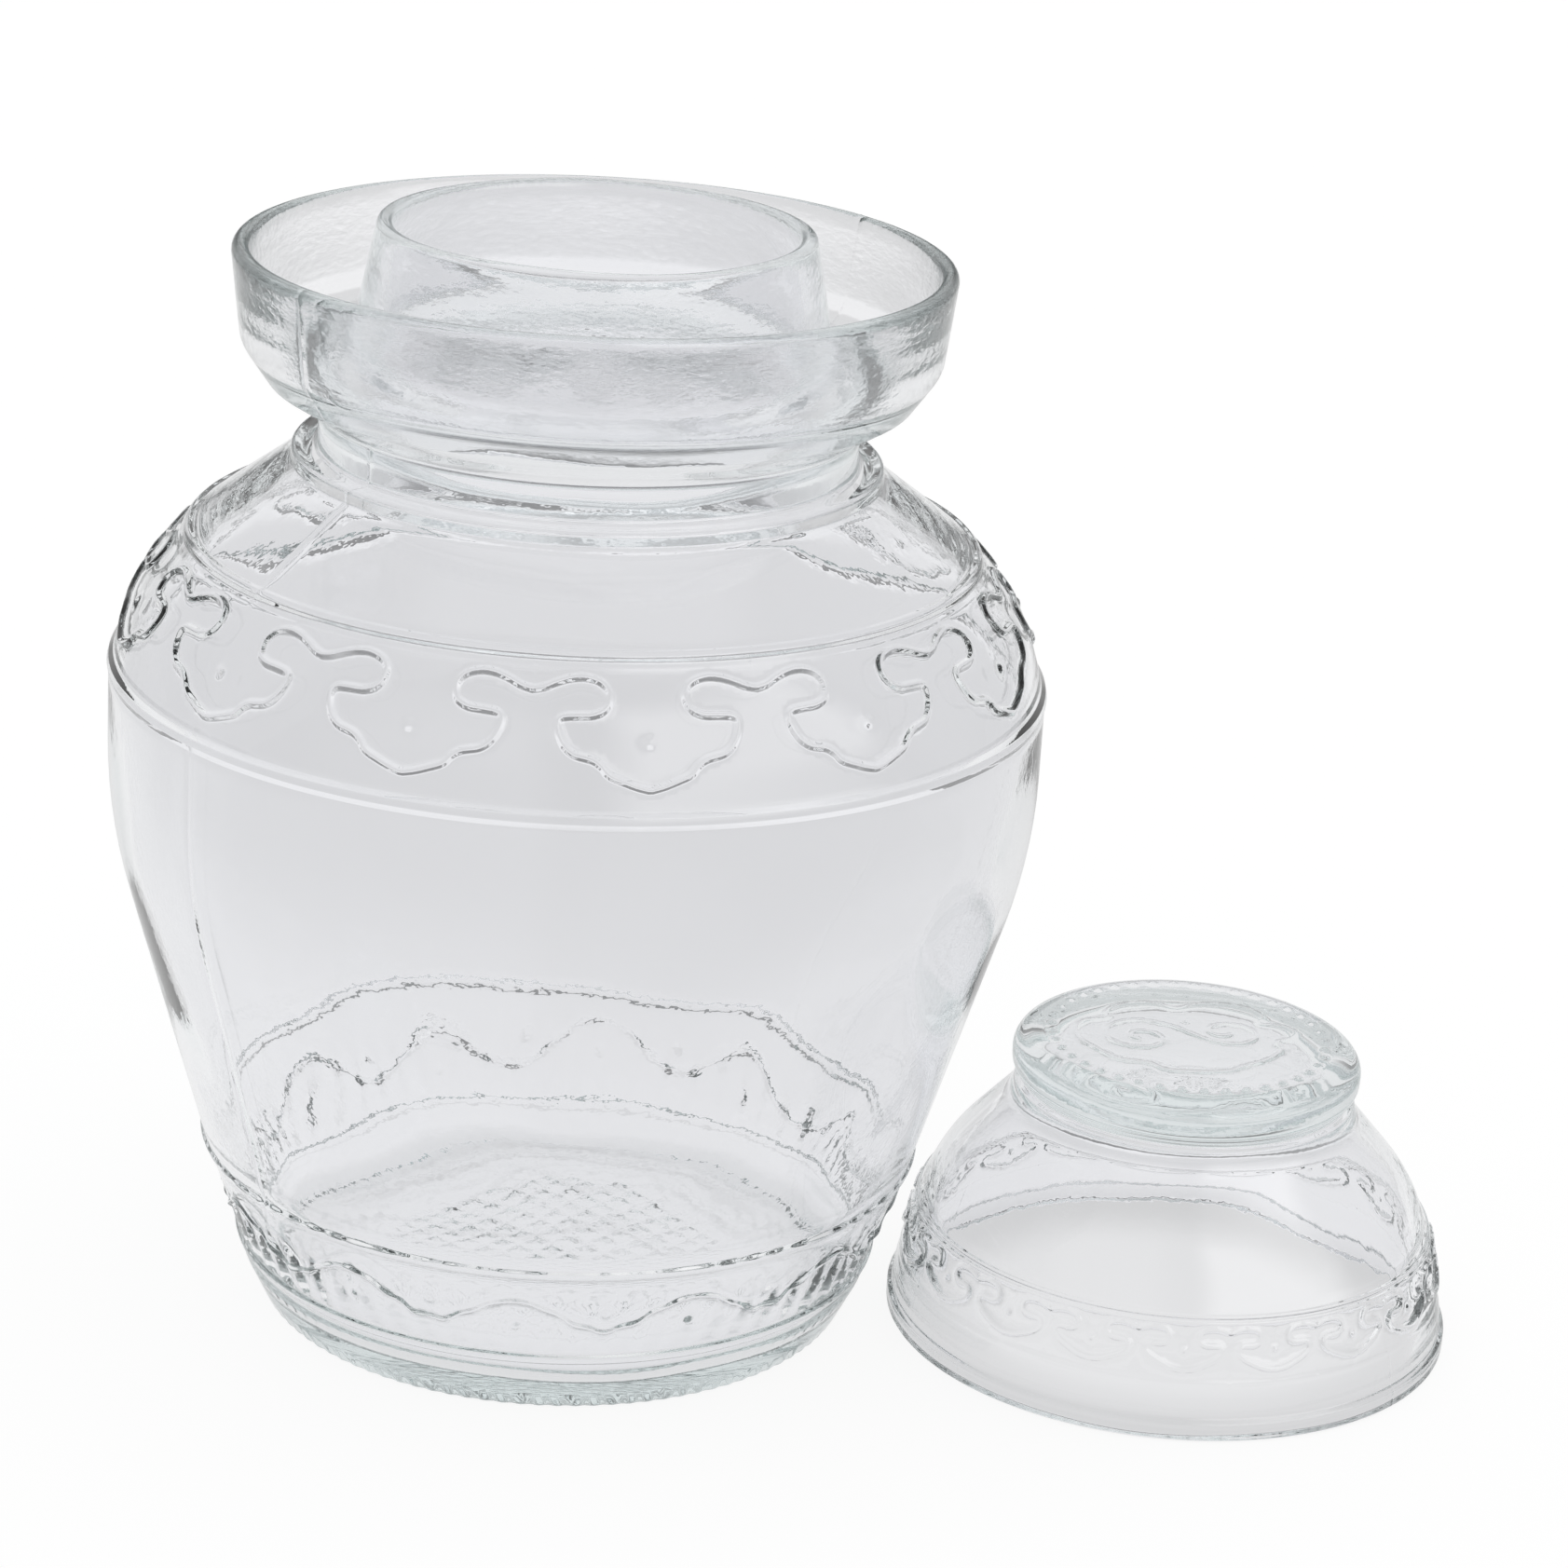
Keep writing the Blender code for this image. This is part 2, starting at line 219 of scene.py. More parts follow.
# The patch of the shoulder that the lappets are pressed into, measured down from the upper ridge
LAPPET_PATCH_START = 0.0013
LAPPET_PATCH_END = 0.0258
SCRIBED_LINE_DOWN = 0.0009
SCRIBED_LINE_WIDTH = 0.0009
SCRIBED_LINE_PROUD = 0.00012

# The foot's wave, with a dot above each trough and below each crest, and soft upright flutes in
# the wall behind its lower half. Each length down starts at the patch's top.
WAVE_RISE = 0.0072
WAVE_MIDDLE = 0.0088
WAVE_RIB_WIDTH = 0.0017
WAVE_RIB_PROUD = 0.00055
WAVE_DOT_WIDTH = 0.0025
WAVE_DOT_PROUD = 0.0006
WAVE_UPPER_DOT = 0.0080
WAVE_LOWER_DOT = 0.0117
WAVE_PATCH_START = 0.0016
WAVE_PATCH_END = 0.0190
WAVE_POINTS = 52
WAVE_REACH_SHARE = 0.55
FLUTE_COUNT = 66
FLUTE_DEPTH = 0.0006
FLUTE_START = 0.0045
FLUTE_TOP_FADE = 0.0050
FLUTE_FOOT_FADE = 0.0010

# The lid's smaller lappets
LID_RIB_WIDTH = 0.0014
LID_RIB_PROUD = 0.00085
LID_DOT_WIDTH = 0.0018
LID_DOT_PROUD = 0.0005
LID_LAPPET_TOP = 0.0007
LID_LAPPET_DROP = 0.0078
LID_HALF_CURVE = (
    (0, 1), (0.25, 0.957), (0.50, 0.84), (0.70, 0.723), (0.815, 0.60), (0.825, 0.495),
    (0.75, 0.415), (0.55, 0.404), (0.40, 0.378), (0.315, 0.282), (0.33, 0.149), (0.425, 0.043),
    (0.575, 0), (0.75, 0.005), (0.90, 0.058), (1, 0.096),
)
LID_DOT_SHARE = 0.52
LID_PATCH_START = 0.0010
LID_PATCH_END = 0.0130
LID_LINE_DOWN = 0.0109

# Mould seams, by their phase in degrees
SEAM_HALF_ANGLE = 0.16
SEAM_PROUD = 0.00005
SEAM_WIDTH = 0.0005
JAR_SEAMS = (298.5, 123.0)
LID_SEAMS = (51.0, 231.0)

# Notches round the jar's heel: how far past the heel each ring lies, and how deep it is cut. The
# first and the last only say where the plain glass ends and starts again.
NOTCH_COLUMNS = 600
NOTCH_COUNT = 100
NOTCH_RINGS = (
    (-0.0012, 0), (-0.0009, 0.00018), (-0.0006, 0.00022), (-0.0002, 0.00022), (0.0002, 0.00016),
    (0.0007, 0.0003), (0.0013, 0.0003), (0.0020, 0.0002), (0.0025, 0),
)

# The lattice under the jar's base
LATTICE_RADIUS = 0.0345
LATTICE_PITCH = 0.0044
LATTICE_PROUD = 0.00011
LATTICE_SHARPNESS = 3
LATTICE_FADE = 0.0020
LATTICE_STEPS = 11

# Ornament on the flat top of the knob
KNOB_PATCH_RADIUS = 0.0272
KNOB_DOT_RADIUS = 0.0257
KNOB_DOT_COUNT = 40
KNOB_DOT_WIDTH = 0.0020
KNOB_DOT_PROUD = 0.0005
KNOB_LINE_WIDTH = 0.0013
KNOB_LINE_PROUD = 0.00028
KNOB_MARK_PLACE = (0.0, 0.0068)

# The curling cloud on the knob, in millimetres to the right and towards the back
CLOUD_OUTLINE = (
    (-18.6, -7.0), (-14.5, -12.3), (-9.0, -13.8), (-5.6, -16.8), (0.0, -17.2), (5.6, -16.2),
    (8.6, -13.8), (13.6, -10.0), (17.0, -5.0), (16.6, -1.4), (19.6, 0.8), (20.3, 4.2),
    (18.0, 6.6), (14.3, 7.0), (15.3, 10.5), (13.0, 14.6), (8.5, 16.2), (3.0, 15.6),
    (-1.0, 13.2), (-5.0, 15.4), (-10.6, 14.4), (-14.2, 10.8), (-14.4, 7.2), (-18.8, 5.6),
    (-21.0, 1.6), (-20.6, -3.4),
)
CLOUD_SCROLL = (
    (-9.4, -2.6), (-11.0, -1.2), (-9.8, 1.2), (-6.6, 0.8), (-5.0, -2.4), (-7.4, -5.8),
    (-12.2, -5.8), (-15.4, -2.0), (-14.2, 4.0), (-9.0, 6.8), (-3.0, 4.8), (1.2, 0.6),
    (5.2, -2.6), (9.8, -2.8), (12.8, 0.4), (12.2, 4.6), (8.6, 6.6), (5.0, 5.2),
    (4.2, 2.2), (6.2, 0.4), (8.0, 1.4),
)

# What a point on a surface is marked with, for its texture: each mark is 0 to 1. The jar's and the
# lid's insides are marked blown, because no mould has textured them.
MARKS = ("hammered", "turned", "blown")
PLAIN = (0.0, 0.0, 0.0)
BLOWN = (0.0, 0.0, 1.0)
MOAT_MARKS = (1.0, 0.3, 0.0)
NECK_MARKS = (0.0, 1.0, 0.0)

# Slow unevenness of the inner wall
SWELL_SIZE = 0.024
SWELL_DEPTH = 0.00050

# Textures of the glass, as noise: how stretched along the axes, then scale, detail and depth
RIPPLE = (60, 1, 0.00006)
MARK_GRAINS = {
    "hammered": ((0.5, 0.5, 1.2), (800, 2, 0.00005)),
    "turned": ((0.02, 0.02, 1), (450, 1, 0.00003)),
    "blown": ((1, 1, 1), (380, 2, 0.00002)),
}
HAMMERED_ROUGHNESS = 0.07

# The glass: its colour, its refraction, what passes in shadow, and the tint of its depth
GLASS_COLOUR = (0.975, 0.975, 0.99, 1)
GLASS_INDEX = 1.5
SHADOW_COLOUR = (0.97, 0.98, 0.98, 1)
DEPTH_COLOUR = (0.22, 0.52, 0.50, 1)
DEPTH_DENSITY = 2.6

# The studio: turns from the front towards the right and rises from the horizon, in degrees,
# with levels where 1 is white. A light is its turns, its rises, its soft edge and its gain. The
# horizon behind is darker, so that the glass gets dark edges where it bends the view that far.
FRONT_LEVEL = 0.50
SIDE_LEVEL = 0.56
BACK_LEVEL = 0.85
FRONT_EDGE = (60, 85)
BACK_EDGE = (95, 160)
DIFFUSE_LEVEL = 0.65
SOFT_LIGHTS = (
    (-65, -10, 12, 55, 24, 0.5),
    (12, 78, 10, 55, 16, 2.0),
)
SOFT_HIDDEN_SHARE = 0.85
HORIZON_SHADE = (-6, 12, 6)
HORIZON_SHADE_SHARE = 0.75
HORIZON_SHADE_EDGE = (150, 172)
TOP_LIGHT_EDGE = (60, 70)
TOP_LIGHT_GAIN = 0.3

# The floor: how it glows for the camera, and for what is seen through the glass. The glow seen
# through the glass holds painted shade: it is dimmer round a spot behind the pieces and towards
# the sides, with a painted shadow under each piece and its rim. A shade is the inner edge, the
# outer edge, the share kept inside and the share kept under the rim.
FLOOR_WIDTH = 8
FLOOR_GAP = 0.0002
FLOOR_COLOUR = 0.15
CAMERA_FLOOR_LEVEL = 0.885
NEAR_FLOOR_LEVEL = 0.80
SIDE_FLOOR_EDGE = (0.30, 0.80)
SIDE_FLOOR_SHARE = 0.72
FLOOR_DIM_LEVEL = 0.62
FLOOR_DIM_MIDDLE = 0.40
FLOOR_DIM_EDGE = (0.16, 0.42)
JAR_SHADE = ((0.036, 0.054), (0.056, 0.072), 0.97, 0.88)
LID_SHADE = ((0.030, 0.048), (0.052, 0.065), 0.96, 0.80)

# Camera
CAMERA_BACK = 0.789935
CAMERA_HEIGHT = 0.381107
CAMERA_YAW = 2.797
CAMERA_PITCH = 19.481
CAMERA_ROLL = 3.404
CAMERA_LENS = 104.40
SENSOR_WIDTH = 36

# How often a ray may be bent or mirrored
BOUNCES = {
    "max_bounces": 32, "transmission_bounces": 32, "glossy_bounces": 16, "transparent_max_bounces": 32,
}


def arc_through(corner, before, after, rounding):
    """The points of the arc that rounds the corner between the runs to before and to after."""
    to_before = before - corner
    to_after = after - corner
    turn = math.pi - to_before.angle(to_after)
    longest = min(to_before.length, to_after.length) / 2
    reach = min(rounding * math.tan(turn / 2), longest)
    radius = reach / math.tan(turn / 2)
    start = corner + to_before.normalized() * reach
    middle_way = (to_before.normalized() + to_after.normalized()).normalized()
    centre = corner + middle_way * (radius / math.cos(turn / 2))
    finest = 2 * math.acos(max(0.0, 1 - CHORD_ERROR / radius))
    count = max(2, math.ceil(turn / finest))
    side = 1 if to_before.cross(to_after) < 0 else -1
    spoke = start - centre
    points = []
    for step in range(count + 1):
        angle = side * turn * step / count
        turned_x = spoke.x * math.cos(angle) - spoke.y * math.sin(angle)
        turned_y = spoke.x * math.sin(angle) + spoke.y * math.cos(angle)
        points.append(centre + Vector((turned_x, turned_y)))
    return points


def rounded(corners):
    """The outline through (radius, height, rounding) corners, with an arc at each rounded one."""
    places = [Vector(corner[:2]) for corner in corners]
    outline = []
    for index, place in enumerate(places):
        rounding = corners[index][2]
        if rounding == 0 or index in (0, len(places) - 1):
            outline.append(place)
        else:
            outline.extend(arc_through(place, places[index - 1], places[index + 1], rounding))
    return outline


def ridge(above, here, below, width, proud, rounding):
    """The four corners of a raised ridge, where the wall runs from above through here to below."""
    place = Vector(here[:2])
    up = (Vector(above[:2]) - place).normalized()
    down = (Vector(below[:2]) - place).normalized()
    along = (down - up).normalized()
    out = Vector((-along.y, along.x)) * proud
    points = [
        place + up * (width / 2),
        place + up * (width / 4) + out,
        place + down * (width / 4) + out,
        place + down * (width / 2),
    ]
    return [(point.x, point.y, rounding) for point in points]


def inset(corners, wall):
    """The corners of the inner face of a wall whose outer face runs down through these corners."""
    places = [Vector(corner[:2]) for corner in corners]
    runs = [(low - high).normalized() for high, low in zip(places, places[1:])]
    inward = [Vector((run.y, -run.x)) * wall for run in runs]
    inner = []
    for index, place in enumerate(places):
        if index == 0:
            moved = place + inward[0]
        elif index == len(runs):
            moved = place + inward[-1]
        else:
            both = inward[index - 1] + inward[index]
            moved = place + both * (2 * wall * wall / both.length_squared)
        rounding = corners[index][2]
        inner.append((moved.x, moved.y, max(rounding - wall, 0)))
    return inner


def at_height(top, bottom, height):
    """The radius at this height on the straight line through two corners."""
    share = (top[1] - height) / (top[1] - bottom[1])
    return top[0] + (bottom[0] - top[0]) * share


def between(start, end, share):
    return start + (end - start) * share


def jar_heights():
    """Every named height of the jar's outside, added up from the standing surface."""
    heights = {}
    total = 0
    for name, stretch in JAR_STRETCHES.items():
        total += stretch
        heights[name] = total
    return heights


def jar_wall_corners(top):
    """The jar's wall from the top of its shoulder down to its foot, without the ridges."""
    body_turn = between(top["foot_band"], top["body"], BODY_TURN_SHARE)
    shoulder_turn = between(top["belly_step"], top["shoulder_band"], SHOULDER_TURN_SHARE)
    return {
        "shoulder_top": (SHOULDER_TOP_RADIUS, top["shoulder"], SHOULDER_TOP_ROUNDING),
        "upper_ridge": (SHOULDER_BAND_RADIUS, top["shoulder_band"], 0),
        "shoulder_turn": (SHOULDER_TURN_RADIUS, shoulder_turn, SHOULDER_TURN_ROUNDING),
        "belly_step": (BELLY_RADIUS - BELLY_STEP, top["belly_step"], STEP_ROUNDING),
        "belly_edge": (BELLY_RADIUS, top["body"], STEP_ROUNDING),
        "body_turn": (BELLY_RADIUS, body_turn, BODY_TURN_ROUNDING),
        "lower_ridge": (FOOT_BAND_RADIUS, top["foot_band"], 0),
        "foot_ridge": (FOOT_RADIUS, top["foot"], 0),
    }


def belly_ridge(wall):
    """The rounded ridge where the shoulder's band steps out to the belly."""
    step_radius, step_height, _ = wall["belly_step"]
    edge_radius, edge_height, _ = wall["belly_edge"]
    return [
        (step_radius, step_height + BELLY_RIDGE_LEAD, STEP_ROUNDING),
        (edge_radius, step_height, STEP_ROUNDING),
        (edge_radius + BELLY_RIDGE_PROUD, between(step_height, edge_height, 1 / 2), STEP_ROUNDING),
        (edge_radius, edge_height, STEP_ROUNDING),
    ]


def jar_outside(top, wall):
    """The jar's outside, from the outer edge of its mouth down to the standing ring."""
    moat_rim = top["moat_wall"]
    moat_floor = top["moat_flare"] + MOAT_FLOOR_WALL
    moat_floor_radius = MOAT_BASE_RADIUS - MOAT_BASE_WALL + MOAT_FLOOR_WALL / 2
    mouth_edge = MOUTH_RADIUS + COLLAR_RIM_WALL
    foot_turn = top["foot"] * FOOT_TURN_SHARE
    foot_turn_radius = between(STANDING_RADIUS, FOOT_RADIUS, FOOT_TAPER_SHARE)
    below_foot = (foot_turn_radius, foot_turn, FOOT_TURN_ROUNDING)
    bead_top = top["shoulder"] + NECK_BEAD_RISE
    bead_foot = top["shoulder"] - NECK_BEAD_DROP
    ridge_size = (RIDGE_WIDTH, RIDGE_PROUD, RIDGE_ROUNDING)
    return [
        (mouth_edge, top["mouth"], MOUTH_ROUNDING),
        (COLLAR_BASE_RADIUS, moat_floor, COLLAR_FOOT_ROUNDING),
        (moat_floor_radius, moat_floor, MOAT_CORNER_ROUNDING),
        (MOAT_RIM_RADIUS - MOAT_RIM_WALL, moat_rim, MOAT_RIM_ROUNDING),
        (MOAT_RIM_RADIUS, moat_rim, MOAT_RIM_ROUNDING),
        (MOAT_CREASE_RADIUS, top["moat_belly"], MOAT_CREASE_ROUNDING),
        (MOAT_BASE_RADIUS, top["moat_flare"], MOAT_BASE_ROUNDING),
        (NECK_RADIUS, top["neck"], NECK_ROUNDING),
        (NECK_RADIUS, top["neck_step"], NECK_ROUNDING / 2),
        (SHOULDER_TOP_RADIUS, bead_top, NECK_BEAD_ROUNDING),
        (SHOULDER_TOP_RADIUS, bead_foot, NECK_BEAD_ROUNDING / 2),
        *ridge(wall["shoulder_top"], wall["upper_ridge"], wall["shoulder_turn"], *ridge_size),
        wall["shoulder_turn"],
        *belly_ridge(wall),
        wall["body_turn"],
        *ridge(wall["body_turn"], wall["lower_ridge"], wall["foot_ridge"], *ridge_size),
        *ridge(wall["lower_ridge"], wall["foot_ridge"], below_foot, *ridge_size),
        below_foot,
        (STANDING_RADIUS, 0, HEEL_ROUNDING),
    ]


def jar_underside():
    """The flat standing ring and the pushed-up middle of the jar's base, out to in."""
    ring_inside = STANDING_RADIUS - STANDING_RING_WIDTH
    return [
        (ring_inside, 0, PUSH_UP_ROUNDING),
        (0, PUSH_UP_HEIGHT, 0),
    ]


def jar_inside(top, wall):
    """The jar's inside, from the middle of its floor up to the inner edge of its mouth."""
    outer = [wall[name] for name in wall if name != "belly_step"]
    inner = inset(outer, BODY_WALL)
    moat_floor = top["moat_flare"] + MOAT_FLOOR_WALL
    floor = PUSH_UP_HEIGHT + FLOOR_WALL
    neck_middle = between(top["neck_step"], top["neck"], 1 / 2)
    shoulder_top = (*inner[0][:2], INNER_NECK_ROUNDING)
    upper_bend = (*inner[1][:2], INNER_SHOULDER_ROUNDING)
    floor_radius = at_height(inner[-2], inner[-1], floor)
    downwards = [
        (MOUTH_RADIUS, top["mouth"], MOUTH_ROUNDING),
        (COLLAR_BASE_RADIUS - NECK_WALL, moat_floor, INNER_NECK_ROUNDING),
        (NECK_RADIUS - NECK_WALL, neck_middle, INNER_NECK_ROUNDING),
        shoulder_top,
        upper_bend,
        *inner[2:-1],
        (floor_radius, floor, INNER_FLOOR_ROUNDING),
        (0, floor + FLOOR_CROWN, 0),
    ]
    return downwards[::-1]


def lid_wall_corners():
    """The lid's pressed wall from under its knob down to its rim, without ridges and flange."""
    collar_top = LID_HEIGHT - KNOB_THICKNESS - KNOB_UNDERCUT_HEIGHT - KNOB_COLLAR_STEP
    dome_top = collar_top - KNOB_COLLAR_HEIGHT
    shoulder = dome_top - DOME_HEIGHT
    band = shoulder - LID_BAND_HEIGHT
    dome_turn = between(dome_top, shoulder, DOME_TURN_SHARE)
    return {
        "dome_top": (DOME_TOP_RADIUS, dome_top, KNOB_COLLAR_ROUNDING),
        "dome_turn": (DOME_TURN_RADIUS, dome_turn, DOME_ROUNDING),
        "shoulder": (LID_SHOULDER_RADIUS, shoulder, 0),
        "band": (LID_BAND_RADIUS, band, LID_BAND_ROUNDING),
        "rim": (LID_RIM_RADIUS - LID_FLANGE_STEP, 0, 0),
    }


def lid_outside(wall):
    """The lid's outside, from the middle of its knob down to the outer edge of its rim."""
    knob_under = LID_HEIGHT - KNOB_THICKNESS
    neck = knob_under - KNOB_UNDERCUT_HEIGHT
    flange_radius = at_height(wall["band"], wall["rim"], LID_FLANGE_HEIGHT)
    shoulder = Vector(wall["shoulder"][:2])
    up = (Vector(wall["dome_turn"][:2]) - shoulder).normalized()
    down = (Vector(wall["band"][:2]) - shoulder).normalized()
    apart = (LID_RIDGE_WIDTH + LID_RIDGE_GAP) / 2
    ridge_size = (LID_RIDGE_WIDTH, LID_RIDGE_PROUD, LID_RIDGE_ROUNDING)
    return [
        (0, LID_HEIGHT, 0),
        (KNOB_TOP_RADIUS, LID_HEIGHT, KNOB_TOP_ROUNDING),
        (KNOB_RADIUS, LID_HEIGHT - KNOB_TOP_FALL, KNOB_ROUNDING),
        (KNOB_RADIUS, knob_under, KNOB_ROUNDING),
        (KNOB_NECK_RADIUS, neck, KNOB_NECK_ROUNDING),
        (KNOB_COLLAR_RADIUS, neck - KNOB_COLLAR_STEP, KNOB_NECK_ROUNDING),
        wall["dome_top"],
        wall["dome_turn"],
        *ridge(wall["dome_turn"], shoulder + up * apart, wall["shoulder"], *ridge_size),
        *ridge(wall["shoulder"], shoulder + down * apart, wall["band"], *ridge_size),
        wall["band"],
        (flange_radius, LID_FLANGE_HEIGHT, LID_FLANGE_ROUNDING),
        (LID_RIM_RADIUS, LID_FLANGE_HEIGHT - LID_FLANGE_STEP, LID_FLANGE_ROUNDING),
        (LID_RIM_RADIUS, 0, LID_RIM_ROUNDING),
    ]


def lid_inside(wall):
    """The lid's inside, from the inner edge of its rim up to the middle of its roof."""
    inner = inset(list(wall.values()), LID_WALL)
    roof = LID_HEIGHT - LID_CREST_HEIGHT
    roof_edge = at_height(inner[0], inner[1], roof)
    downwards = [
        (0, roof, 0),
        (roof_edge, roof, LID_CREST_ROUNDING),
        *inner[1:-1],
        (inner[-1][0], 0, LID_RIM_ROUNDING),
    ]
    return downwards[::-1]


class Outline:
    """A turned outline, walked by its length from its first point."""

    def __init__(self, corners):
        points = []
        for point in rounded(corners):
            if not points or (point - points[-1]).length > MM / 1000:
                points.append(point)
        gaps = [0] + [(after - before).length for before, after in zip(points, points[1:])]
        self.spots = np.cumsum(gaps)
        self.radii = np.array([point.x for point in points])
        self.heights = np.array([point.y for point in points])
        self.length = self.spots[-1]

    def at(self, spot):
        """The (radius, height) there."""
        return np.interp(spot, self.spots, self.radii), np.interp(spot, self.spots, self.heights)

    def out(self, spot):
        """The unit vector that points out of the glass there."""
        before = np.array(self.at(max(spot - OUT_REACH, 0)))
        after = np.array(self.at(min(spot + OUT_REACH, self.length)))
        run = after - before
        return np.array([-run[1], run[0]]) / np.hypot(*run)

    def spot_of(self, radius, height):
        """The spot nearest to this radius and height."""
        def gap(spot):
            near_radius, near_height = self.at(spot)
            return math.hypot(near_radius - radius, near_height - height)

        nearest = int(np.argmin(np.hypot(self.radii - radius, self.heights - height)))
        low = self.spots[max(nearest - 1, 0)]
        high = self.spots[min(nearest + 1, len(self.spots) - 1)]
        return min([self.spots[nearest], *np.linspace(low, high, SPOT_TRIES)], key=gap)

    def stations(self, start, end):
        """Spots from start to end that hold every bend and leave no long gap."""
        inner = [spot for spot in self.spots if start + MM / 20 < spot < end - MM / 20]
        spots = [start, *inner, end]
        fine = []
        for before, after in zip(spots, spots[1:]):
            count = max(1, math.ceil((after - before) / ROW_GAP))
            fine.extend(before + (after - before) * step / count for step in range(count))
        return [*fine, end]


class Shell:
    """A closed surface in the making: rings round an upright axis, and patches between them."""

    def __init__(self, outline, zero_turn, swing_share):
        self.outline = outline
        self.zero_turn = zero_turn
        self.swing_share = swing_share
        self.points = []
        self.faces = []
        self.marks = []

    def turn_of(self, phase):
        """The angle from the front towards the right, in radians."""
        swing = math.degrees(self.swing_share) * math.sin(math.radians(phase))
        return math.radians(self.zero_turn + phase - swing)

    def add(self, phase, spot, proud=0.0, marks=PLAIN):
        radius, height = self.outline.at(spot)
        out = self.outline.out(spot)
        radius += out[0] * proud
        height += out[1] * proud
        angle = self.turn_of(phase)
        self.points.append((radius * math.sin(angle), -radius * math.cos(angle), height))
        self.marks.append(marks)
        return len(self.points) - 1

    def add_flat(self, x, y, height):
        self.points.append((x, y, height))
        self.marks.append(PLAIN)
        return len(self.points) - 1

    def ring(self, phases, spot, proud_at=None, marks=PLAIN):
        """A ring of points, as (phase, index) pairs."""
        made = []
        for phase in phases:
            proud = proud_at(phase, spot) if proud_at else 0.0
            made.append((phase, self.add(phase, spot, proud, marks)))
        return made

    def bridge(self, upper, lower):
        """Faces between a ring and the next one along the outline. Their counts may differ."""
        above = [*upper, (upper[0][0] + 360, upper[0][1])]
        below = [*lower, (lower[0][0] + 360, lower[0][1])]
        if len(above) == len(below):
            for a, b, c, d in zip(above, above[1:], below[1:], below):
                self.faces.append((a[1], d[1], c[1], b[1]))
            return
        i = j = 0
        while i < len(upper) or j < len(lower):
            if j == len(lower) or (i < len(upper) and above[i + 1][0] <= below[j + 1][0]):
                self.faces.append((above[i][1], below[j][1], above[i + 1][1]))
                i += 1
            else:
                self.faces.append((above[i][1], below[j][1], below[j + 1][1]))
                j += 1

    def fill(self, places, indices, upwards=False):
        """Triangles between the points of these indices, which lie at these places on a flat map."""
        for face in triangles(places):
            order = face if upwards else face[::-1]
            self.faces.append(tuple(indices[index] for index in order))

    def fan(self, ring, centre, upwards):
        """Triangles from a ring to the point in its middle."""
        indices = [index for _, index in ring]
        for one, other in zip(indices, [*indices[1:], indices[0]]):
            self.faces.append((one, other, centre) if upwards else (other, one, centre))

    def mesh_object(self, name, place, material):
        mesh = bpy.data.meshes.new(name)
        mesh.from_pydata(self.points, [], self.faces)
        mesh.validate()
        mesh.shade_smooth()
        for mark_name, values in zip(MARKS, zip(*self.marks)):
            mark = mesh.attributes.new(mark_name, "FLOAT", "POINT")
            mark.data.foreach_set("value", np.array(values, np.float32))
        mesh.materials.append(material)
        made = bpy.data.objects.new(name, mesh)
        made.location = place
        bpy.context.scene.collection.objects.link(made)
        return made


class Relief:
    """Raised ribs and dots on a flat map: across and down, in metres."""

    def __init__(self):
        self.ribs = []
        self.dots = []

    def add_rib(self, points, width, proud, lines=3):
        self.ribs.append((np.array(points, float), width / 2, proud, lines))

    def add_dot(self, centre, width, proud):
        self.dots.append((np.array(centre, float), width / 2, proud))

    def height(self, places):
        """How proud the surface stands at each place."""
        total = np.zeros(len(places))
        for points, reach, proud, _ in self.ribs:
            total = np.maximum(total, proud * swell(away_from(places, points) / reach))
        for centre, reach, proud in self.dots:
            gap = np.hypot(*(places - centre).T)
            total = np.maximum(total, proud * swell(gap / reach))
        return total

    def nearest(self, places):
        """How far each place is from the edge of the nearest rib or dot."""
        gap = np.full(len(places), np.inf)
        for points, reach, _, _ in self.ribs:
            gap = np.minimum(gap, away_from(places, points) - reach)
        for centre, reach, _ in self.dots:
            gap = np.minimum(gap, np.hypot(*(places - centre).T) - reach)
        return gap

    def samples(self):
        """Places on the ribs' middles and along their flanks, and on the dots."""
        made = []
        for points, reach, _, lines in self.ribs:
            fine = resampled(points, RIB_GRAIN)
            run = np.gradient(fine, axis=0)
            across = np.stack([-run[:, 1], run[:, 0]], 1) / np.hypot(*run.T)[:, None]
            for line in range(-lines, lines + 1):
                shift = reach * line / lines
                places = fine + across * shift
                true_gap = np.full(len(places), np.inf)
                for others, _, _, _ in self.ribs:
                    true_gap = np.minimum(true_gap, away_from(places, others))
                made.append((abs(line), places[true_gap > abs(shift) - reach / 12]))
        made.sort(key=lambda group: group[0])
        spots = [places for _, places in made]
        for centre, reach, _ in self.dots:
            spots.append(centre[None])
            for share, count in DOT_RINGS:
                turn = np.arange(count) * 2 * np.pi / count
                spots.append(centre + reach * share * np.stack([np.cos(turn), np.sin(turn)], 1))
        return np.concatenate(spots) if spots else np.zeros((0, 2))


def swell(share):
    """A rounded rise: 1 in the middle, falling smoothly to 0 where share is 1."""
    inside = np.clip(share, 0, 1)
    return 0.5 + 0.5 * np.cos(np.pi * inside)


def away_from(places, points):
    """The distance of each place from the line through the points."""
    best = np.full(len(places), np.inf)
    for start, end in zip(points, points[1:]):
        run = end - start
        share = np.clip(((places - start) @ run) / (run @ run), 0, 1)
        best = np.minimum(best, np.hypot(*(places - start - share[:, None] * run).T))
    return best


def resampled(points, gap):
    steps = np.hypot(*np.diff(points, axis=0).T)
    spots = np.concatenate([[0], np.cumsum(steps)])
    count = max(2, round(spots[-1] / gap) + 1)
    wanted = np.linspace(0, spots[-1], count)
    return np.stack([np.interp(wanted, spots, points[:, axis]) for axis in (0, 1)], 1)


